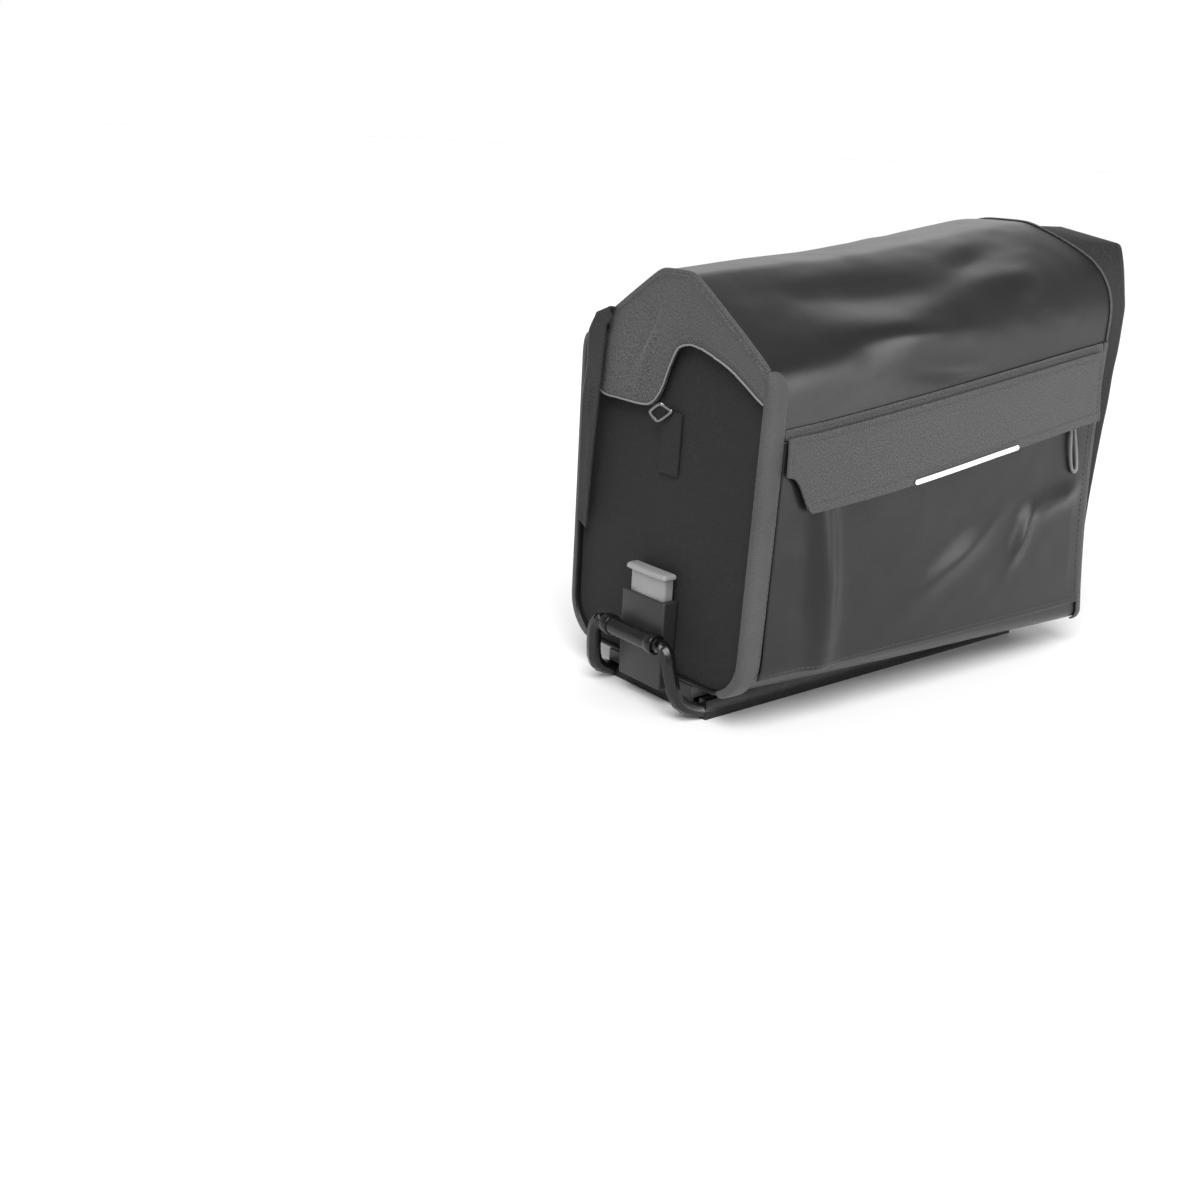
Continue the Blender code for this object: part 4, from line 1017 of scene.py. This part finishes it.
def make_tape(corner, side, along, sign, width, top, turned):
    """A corner tape on the side wall, turned round the end if it is wide."""
    grid = []
    first = FLOOR_STEPS + 3
    steps = np.linspace(0, 1, 13 if turned else 5)
    top += TAPE_RISE if turned else 0.0
    for step in steps:
        reach = width * (1 - step)
        drop = 0.0
        if turned:
            share = max(reach - (width - TAPE_CAP), 0) / TAPE_CAP
            drop = 1.5 * TAPE_CAP * (1 - math.sqrt(max(1 - share * share, 0)))
        place = along - sign * reach / BAG_LENGTH
        p, n = outline_span(place, first, top - drop, EDGE_POINTS)
        grid.append(place_on(side, place, p, n, SHEET_GAP))
    out = np.array([sign * SHEET_GAP, 0, 0])
    grid[-1] = grid[-1] + out
    reach = (TAPE_TURN if turned else REAR_TURN) + SHEET_GAP
    p, n = outline_span(along, first, top, EDGE_POINTS)
    grid += [place_on(side, along, p, n, SHEET_GAP - reach * share) + out
             for share in (0.4, 0.75, 1.0)]
    swell = np.sin(math.pi * steps)
    roll = np.append(0.0006 * swell ** 0.6 if turned else 0.0003 * swell, [0.0, 0.0, 0.0])
    grid = relax(grid, 1)
    return settle(shell(corner + "_edge_tape", grid, TAPE_WALL, tape_cloth,
                        roll[:, None] * np.ones(EDGE_POINTS)), [corner + "_tape"])


def flap_top(along):
    return seam_height(along) + FLAP_OVER_SEAM


def between_tapes(count):
    """Places along the side wall from the front tape to the rear tape."""
    return np.linspace((FRONT_TAPE + SHEET_GAP) / BAG_LENGTH,
                       1 - (REAR_TAPE + 2 * SHEET_GAP) / BAG_LENGTH, count).tolist()


def make_pocket(label, side):
    """The flat outer pocket skin, sewn to the side wall all round."""
    share = np.linspace(0, 1, 96)
    places = between_tapes(190)
    grid = []
    for along in places:
        low, high = BASE_Z + POCKET_LOW, seam_height(along) - WALL
        heights = low + (high - low) * share
        lift = SHEET_GAP + POCKET_FOOT * (1 - share) ** 4
        lift = lift + folds_at(POCKET_FOLDS, side, along, heights)
        slack = waves(POCKET_WAVES, along * BAG_LENGTH, heights + side, 1)
        edge = min(along - places[0], places[-1] - along) * BAG_LENGTH
        hold = fade(share * (high - low), SLACK_FADE) * fade(edge, EDGE_FADE)
        grid.append(on_side(side, along, heights, lift + slack * hold))
    return settle(shell(label + "_pocket_cloth", grid, POCKET_WALL, side_cloth),
                  [label + "_pocket"])


def flap_lift(share):
    """How far the storm flap stands off, growing toward its hem."""
    return 0.001 + 2 * SHEET_GAP + POCKET_WALL + FLAP_STANDOFF * np.maximum(share, 0) ** 1.5


def flap_drop(along):
    """The flap's drop at a place, in metres."""
    share = (along - FLAP_FRONT) / FLAP_SPAN
    return float(np.interp(share, FLAP_PLACES, FLAP_DROPS)) * FLAP_DROP


def make_flap(label, side):
    """The storm flap, rounded at its front, with a rolled hem and folded ends."""
    grid, extra = [], []
    shares = np.concatenate([np.linspace(0, 0.07, 36), np.linspace(0.07, 1, 150)[1:]])
    drops = np.array([flap_drop(FLAP_FRONT + s * FLAP_SPAN) for s in shares])
    drops[:40] = relax(drops[:40], 8)
    t = np.linspace(0, 1, 44)
    for share, drop in zip(shares, drops - (BAND_HEIGHT - BAND_TUCK)):
        along = float(FLAP_FRONT + share * FLAP_SPAN)
        heights = flap_top(along) - BAND_HEIGHT + BAND_TUCK - drop * t
        fall = (flap_top(along) - heights) / FLAP_DROP
        places = along * BAG_LENGTH, heights + side
        wave = waves(FLAP_WAVES, *places) * fall
        wave += waves(FLAP_SLACK, *places, 1) * np.sin(math.pi * t)
        grid.append(on_side(side, along, heights, flap_lift(fall) + wave))
        hem = smooth_step((t * drop - (drop - FLAP_HEM)) / FOLD_STEP)
        fold = 1 - smooth_step((t * drop - FLAP_FOLD) / FOLD_STEP)
        ends = min(share, 1 - share) * FLAP_SPAN * BAG_LENGTH
        fold = np.maximum(fold, 1 - smooth_step((ends - FOLD_STEP) / FOLD_STEP))
        extra.append(FLAP_HEM_ROLL * hem + FLAP_FOLD_RISE * fold)
    return settle(shell(label + "_storm_flap", grid, POCKET_WALL, heather, np.array(extra)),
                  [label + "_flap"])


def make_band(label, side):
    """The strip of the seam between side and lid, over the flap's top edge."""
    grid = []
    for along in between_tapes(160):
        heights = np.linspace(flap_top(along) - BAND_HEIGHT, flap_top(along), 9)
        lift = SHEET_GAP + BAND_LIFT * fade(flap_top(along) - heights, BAND_HEIGHT)
        grid.append(on_side(side, along, heights, lift))
    return settle(shell(label + "_seam_band", grid, BINDING_WALL, heather))


def make_stripe(label, side):
    """The reflective strip along the flap's hem, its ends rounded."""
    grid = []
    radius = STRIPE_HEIGHT / 2
    cap = np.linspace(0, math.pi / 2, 9)
    length = np.concatenate([-np.cos(cap) * radius + radius,
                             np.linspace(radius, STRIPE_LENGTH - radius, 50)[1:-1],
                             STRIPE_LENGTH - radius + np.sin(cap) * radius])
    for s in length:
        near_end = max(radius - s, s - (STRIPE_LENGTH - radius), 0.0)
        half = max(math.sqrt(max(radius ** 2 - near_end ** 2, 0)), 0.0002)
        along = float(STRIPE_MIDDLE + (s - STRIPE_LENGTH / 2) / BAG_LENGTH)
        middle = flap_top(along) - flap_drop(along) + SHEET_GAP + radius
        heights = np.linspace(middle - half, middle + half, 7)
        lift = flap_lift((flap_top(along) - heights) / FLAP_DROP) + POCKET_WALL + 2 * SHEET_GAP
        grid.append(on_side(side, along, heights, lift))
    settle(shell(label + "_reflective_strip", grid, STRIPE_WALL, reflective),
           [label + "_stripe"])


def make_zip_pull(label, side):
    """The cord loop that hangs from the hidden zip under the flap."""
    top = flap_top(PULL_PLACE) - flap_drop(PULL_PLACE) + PULL_TUCK
    lift = SHEET_GAP * 2 + POCKET_WALL + PULL_RADIUS + 0.0006
    route = []
    for share, wide in PULL_SHAPE:
        place = PULL_PLACE + (wide * PULL_WIDTH / 2 + share * PULL_SLANT) / BAG_LENGTH
        heights = np.array([top - share * PULL_LENGTH])
        rise = lift + folds_at(POCKET_FOLDS, side, place, heights)
        route.append(on_side(side, place, heights, rise)[0])
    wire = tube(smooth_loop(route, 7), PULL_RADIUS, 10, True)
    claim(make_object(label + "_pull_cord", *wire, cord), [label + "_zip_pull"])


def make_hook(end, along, sign):
    """The strap on the end wall and the wire hook over the flap's corner."""
    turn, columns = -sign, 14
    high = ridge_height(along) - HOOK_DROP * BAG_HEIGHT
    grid = []
    for height in np.linspace(high, high - STRAP_LENGTH, 30):
        x = end_x(along, height) - sign * (PANEL_RECESS - GAP)
        y = turn * (STRAP_SIDE + STRAP_WIDTH * np.linspace(-0.5, 0.5, columns))
        grid.append(np.column_stack([np.full(columns, x), y, np.full(columns, height)]))
    settle(shell(end + "_hook_strap_cloth", grid, TAPE_WALL, matte),
           [end + "_hook_strap"])
    clear = sign * (WIRE_RADIUS + 2 * GAP)
    strap_face = end_x(along, high) - sign * (PANEL_RECESS - GAP - TAPE_WALL) + clear
    flap_face = end_x(along, high) + sign * (HOOK_PROUD - PANEL_RECESS + WALL) + clear
    knots = [(strap_face + (flap_face - strap_face) * over, turn * across, high + up)
             for across, up, over in HOOK_SHAPE]
    wire = tube(smooth_loop(knots, 8), WIRE_RADIUS, 12, True)
    claim(make_object(end + "_hook_wire", *wire, wire_steel), [end + "_hook"])


make_hull()
make_lid()
for end in ENDS:
    make_panel(*end)
gussets = [make_gusset(*end) for end in ENDS]
tape_ends = ridge_height(0.0) - FRONT_TAPE_FALL * BAG_HEIGHT, flap_top(1.0)
for end, table, stand in zip(ENDS, (FRONT_EAR, REAR_EAR), (3 * SHEET_GAP + TAPE_WALL, 2 * SHEET_GAP)):
    make_ear(*end, table, stand)
for end, foot, rise in zip(ENDS, tape_ends, (TAPE_RISE, GAP)):
    make_binding(*end, foot + rise)
tape_rows, flap_routes, pocket_routes = [], [], []
for label, side in SIDES:
    front = make_tape(label + "_front", side, 0.0, -1, FRONT_TAPE, tape_ends[0], True)
    make_tape(label + "_rear", side, 1.0, 1, REAR_TAPE, tape_ends[1], False)
    pocket, flap, band = make_pocket(label, side), make_flap(label, side), make_band(label, side)
    make_stripe(label, side)
    make_zip_pull(label, side)
    tape_rows.append(edge_route(front, *TAPE_STITCHES))
    flap_routes.append(edge_route(band, *BAND_STITCHES))
    flap_routes += [edge_route(flap, *row) for row in FLAP_STITCHES]
    pocket_routes += [edge_route(pocket, *row) for row in POCKET_STITCHES]
sew("tape_stitches", tape_rows)
sew("flap_stitches", flap_routes)
sew("pocket_stitches", pocket_routes)
# A thin roll along each closure's hem, light grey as a painted highlight.
for (label, _, _), gusset in zip(ENDS, gussets):
    points, normals = edge_route(gusset, *PIPING_ROUTE)
    wire = tube(points + normals * PIPING, PIPING, 10)
    claim(make_object(label + "_hem_roll_painted_highlight", *wire, hem_highlight_paint))
sew("closure_stitches", [edge_route(gusset, *CLOSURE_STITCHES) for gusset in gussets])
for end in ENDS:
    make_hook(*end)


def finish_hard(name, mesh, material, node_name, body="bag"):
    """Place a hard piece that stands for a solid."""
    mesh.shade_smooth()
    mesh.set_sharp_from_angle(angle=math.radians(EDGE_ANGLE))
    mesh.materials.clear()
    mesh.materials.append(material)
    claim(add_object(name, mesh), [node_name], body)


def refine(name, node_name, material, width):
    """The solid's own form with small rounds on its edges and smooth turns."""
    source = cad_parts[node_name]
    bm = bmesh.new()
    bm.from_mesh(source.data)
    bm.transform(source.matrix_world)
    bmesh.ops.remove_doubles(bm, verts=bm.verts, dist=1e-6)
    bmesh.ops.dissolve_limit(bm, angle_limit=math.radians(0.5), verts=bm.verts, edges=bm.edges)
    if width:
        turned = [e for e in bm.edges if len(e.link_faces) == 2
                  and e.calc_face_angle() > math.radians(EDGE_ANGLE)]
        bmesh.ops.bevel(bm, geom=turned, offset=width, offset_type="OFFSET", segments=2,
                        profile=0.5, affect="EDGES", clamp_overlap=True)
    mesh = bpy.data.meshes.new(name)
    bm.to_mesh(mesh)
    bm.free()
    finish_hard(name, mesh, material, node_name)


def closed_mesh(name, points, faces):
    mesh = bpy.data.meshes.new(name)
    mesh.from_pydata([tuple(map(float, p)) for p in points], [], faces)
    bm = bmesh.new()
    bm.from_mesh(mesh)
    bmesh.ops.recalc_face_normals(bm, faces=bm.faces)
    bm.to_mesh(mesh)
    bm.free()
    return mesh


def loft(rings, size):
    """Faces between neighbouring rings of points, each ring closed."""
    return [(a * size + i, a * size + (i + 1) % size, b * size + (i + 1) % size, b * size + i)
            for a, b in rings for i in range(size)]


def make_bar():
    """The sleeve on the loop's cross rod, with a collar at each end."""
    reach = LOOP_HALF - 2.2 * ROD_RADIUS
    collar, waist, bore = BAR_RADIUS, BAR_RADIUS - COLLAR_STEP, ROD_RADIUS + GAP
    half = [(bore, reach), (collar - 0.0006, reach), (collar - 0.0002, reach - 0.0002),
            (collar, reach - 0.0006), (collar, reach - COLLAR_LENGTH + 0.0004),
            (collar - 0.0003, reach - COLLAR_LENGTH), (waist, reach - COLLAR_LENGTH)]
    ring = half + [(r, -y) for r, y in half[::-1]]
    turn = np.linspace(0, 2 * math.pi, BAR_SIDES, endpoint=False)
    points = [(BAR_X + r * math.cos(a), y, LOOP_HEIGHT + r * math.sin(a))
              for a in turn for r, y in ring]
    faces = loft([(a, (a + 1) % BAR_SIDES) for a in range(BAR_SIDES)], len(ring))
    return closed_mesh("front_sleeve", points, faces)


def make_button():
    """The release button: a curved body under a lip with rounded ends."""
    back = FRONT_X + PANEL_RECESS - GAP
    front = back - BLOCK_DEPTH
    mid = (front + back) / 2
    rear, face, lip = mid + BUTTON_DEPTH / 2, mid - BUTTON_DEPTH / 2, front - LIP_OVERHANG * 0.2
    body, wide = BUTTON_WIDTH / 2 - LIP_OVERHANG, BUTTON_WIDTH / 2
    top = BLOCK_TOP + BUTTON_RISE
    low = top - LIP_THICKNESS
    rows = ((BLOCK_TOP - BUTTON_STEM, face, body, 0.0), (low - 0.0008, face, body, 0.0),
            (low - 0.0002, face - 0.0002, body + 0.0003, 0.0),
            (low + 0.0001, lip + 0.0009, wide - 0.0009, 0.0),
            (low + 0.0007, lip + 0.0001, wide - 0.0001, 0.0), (low + 0.0016, lip, wide, 0.0),
            (top - 0.0010, lip + 0.0002, wide - 0.0002, 0.0),
            (top - 0.0003, lip + 0.0007, wide - 0.0007, 0.0003),
            (top, lip + 0.0015, wide - 0.0015, 0.0010))
    points, radius = [], BUTTON_ROUND
    for z, x, half, inset in rows:
        for sign, centre_y in ((1, -half), (-1, half)):
            for k in range(9):
                turn = math.pi / 2 * (k / 8 if sign == 1 else 1 - k / 8)
                points.append((x + BUTTON_BOW + radius - radius * math.sin(turn),
                               centre_y + sign * (radius - radius * math.cos(turn)), z))
            if sign == 1:
                for k in range(1, 12):
                    y = (-half + radius) + 2 * (half - radius) * k / 12
                    bow = BUTTON_BOW * (1 - (y / (half - radius)) ** 2)
                    points.append((x + BUTTON_BOW - bow, y, z))
        points += [(rear - inset, half, z), (rear - inset, -half, z)]
    n = len(points) // len(rows)
    faces = loft([(r, r + 1) for r in range(len(rows) - 1)], n)
    faces += [tuple(range(n)), tuple(range((len(rows) - 1) * n, len(rows) * n))]
    return closed_mesh("button_cap", points, faces)


refine("plate_body", "rack_plate", plate_black, EDGE_ROUND)
refine("foot_body", "mounting_rail", dark_plastic, EDGE_ROUND)
refine("latch_body", "latch_block", dark_plastic, 0.0)
refine("front_screw_head", "plate_screw_front", bright, 0.0)
refine("rear_screw_head", "plate_screw_rear", bright, 0.0)
finish_hard("front_sleeve", make_bar(), plate_black, "front_bar")
finish_hard("button_cap", make_button(), grey_plastic, "release_button", "button")


# Floor, light, camera

WORLD_SEEN = 1.0
WORLD_LOW, WORLD_HIGH = 0.50, 0.32
SUN_LIGHT = 3.6
SUN_ANGLE = 40
SUN_FROM = (-0.50, -0.42, 0.76)
# Each lamp's name, place, aim, size and power
LAMPS = (
    ("key", (1.15, 1.25, 1.30), (0, 0, 0.15), 1.4, 6),
    ("side", (0.7, -1.6, 0.34), (0, 0, 0.15), 0.6, 12),
)
FLOOR_RADIUS = 40
# The photo's camera: its turn in degrees, its place and the shift from there to
# the bag's frame
CAMERA_TURN = (39.251, 18.346, -2.788)
CAMERA_PLACE = (0.0861, 0.40754, 1.01441)
CAMERA_SHIFT = (0.048, 0, 0.385)
CAMERA_LENS, CAMERA_SENSOR = 42, 36


def make_floor():
    mesh = bpy.data.meshes.new("floor")
    turn = np.linspace(0, 2 * math.pi, 64, endpoint=False)
    points = [(FLOOR_RADIUS * math.cos(a), FLOOR_RADIUS * math.sin(a), 0.0) for a in turn]
    mesh.from_pydata(points, [], [tuple(range(64))])
    material, place = start_material("floor")
    cloud = noise(place, 3, 2)
    mesh.materials.append(finish_material(material, mix(cloud, 0.89, 0.90),
                                          ramp(cloud, 0, 1, 0.6, 0.62), cloud, 0.0001, 0.1))
    add_object("floor", mesh)


def add_light(name, kind, power, aim):
    """A lamp that shines along a direction."""
    light = bpy.data.lights.new(name, kind)
    light.energy = power
    obj = add_object(name, light)
    obj.rotation_euler = aim.to_track_quat("-Z", "Y").to_euler()
    return obj


def make_lights():
    scene = bpy.context.scene
    scene.view_settings.view_transform = "Standard"
    scene.view_settings.look = "None"
    world = bpy.data.worlds.new("studio")
    scene.world = world
    world.use_nodes = True
    tree = world.node_tree
    seen = node(tree, "Background", {"Color": (1, 1, 1, 1), "Strength": WORLD_SEEN})
    lit = tree.nodes["Background"]
    lit.inputs["Color"].default_value = (1, 1, 1, 1)
    ray = node(tree, "SeparateXYZ", {0: node(tree, "TexCoord").outputs["Generated"]})
    level = ramp(calc("ABSOLUTE", ray.outputs[2]), 0.1, 0.8, WORLD_LOW, WORLD_HIGH)
    tree.links.new(level, lit.inputs["Strength"])
    both = node(tree, "MixShader", {0: node(tree, "LightPath").outputs["Is Camera Ray"],
                                    1: lit.outputs[0], 2: seen.outputs[0]})
    tree.links.new(both.outputs[0], tree.nodes["World Output"].inputs["Surface"])
    for name, place, aim, size, power in LAMPS:
        obj = add_light(name, "AREA", power, Vector(np.array(aim) - np.array(place)))
        obj.data.shape = "SQUARE"
        obj.data.size = size
        obj.location = place
    sun = add_light("soft_top", "SUN", SUN_LIGHT, -Vector(SUN_FROM))
    sun.data.angle = math.radians(SUN_ANGLE)


def make_camera():
    """The photograph's camera, fitted to the bag's own edges."""
    yaw, pitch, roll = (math.radians(angle) for angle in CAMERA_TURN)
    right = np.array([math.cos(yaw), -math.sin(yaw), 0])
    ahead = np.array([math.sin(yaw) * math.cos(pitch), math.cos(yaw) * math.cos(pitch),
                      -math.sin(pitch)])
    down = np.cross(ahead, right)
    turned = np.array([math.cos(roll) * right + math.sin(roll) * down,
                       -math.sin(roll) * right + math.cos(roll) * down, ahead])
    stand = -turned.T @ np.array(CAMERA_PLACE) - np.array(CAMERA_SHIFT)
    camera = bpy.data.cameras.new("camera")
    camera.lens = CAMERA_LENS
    camera.sensor_width = CAMERA_SENSOR
    obj = add_object("camera", camera)
    rows = [[turned[0][k], -turned[1][k], -turned[2][k], stand[k]] for k in range(3)]
    obj.matrix_world = Matrix(rows + [[0, 0, 0, 1]])
    bpy.context.scene.camera = obj


make_floor()
make_lights()
make_camera()
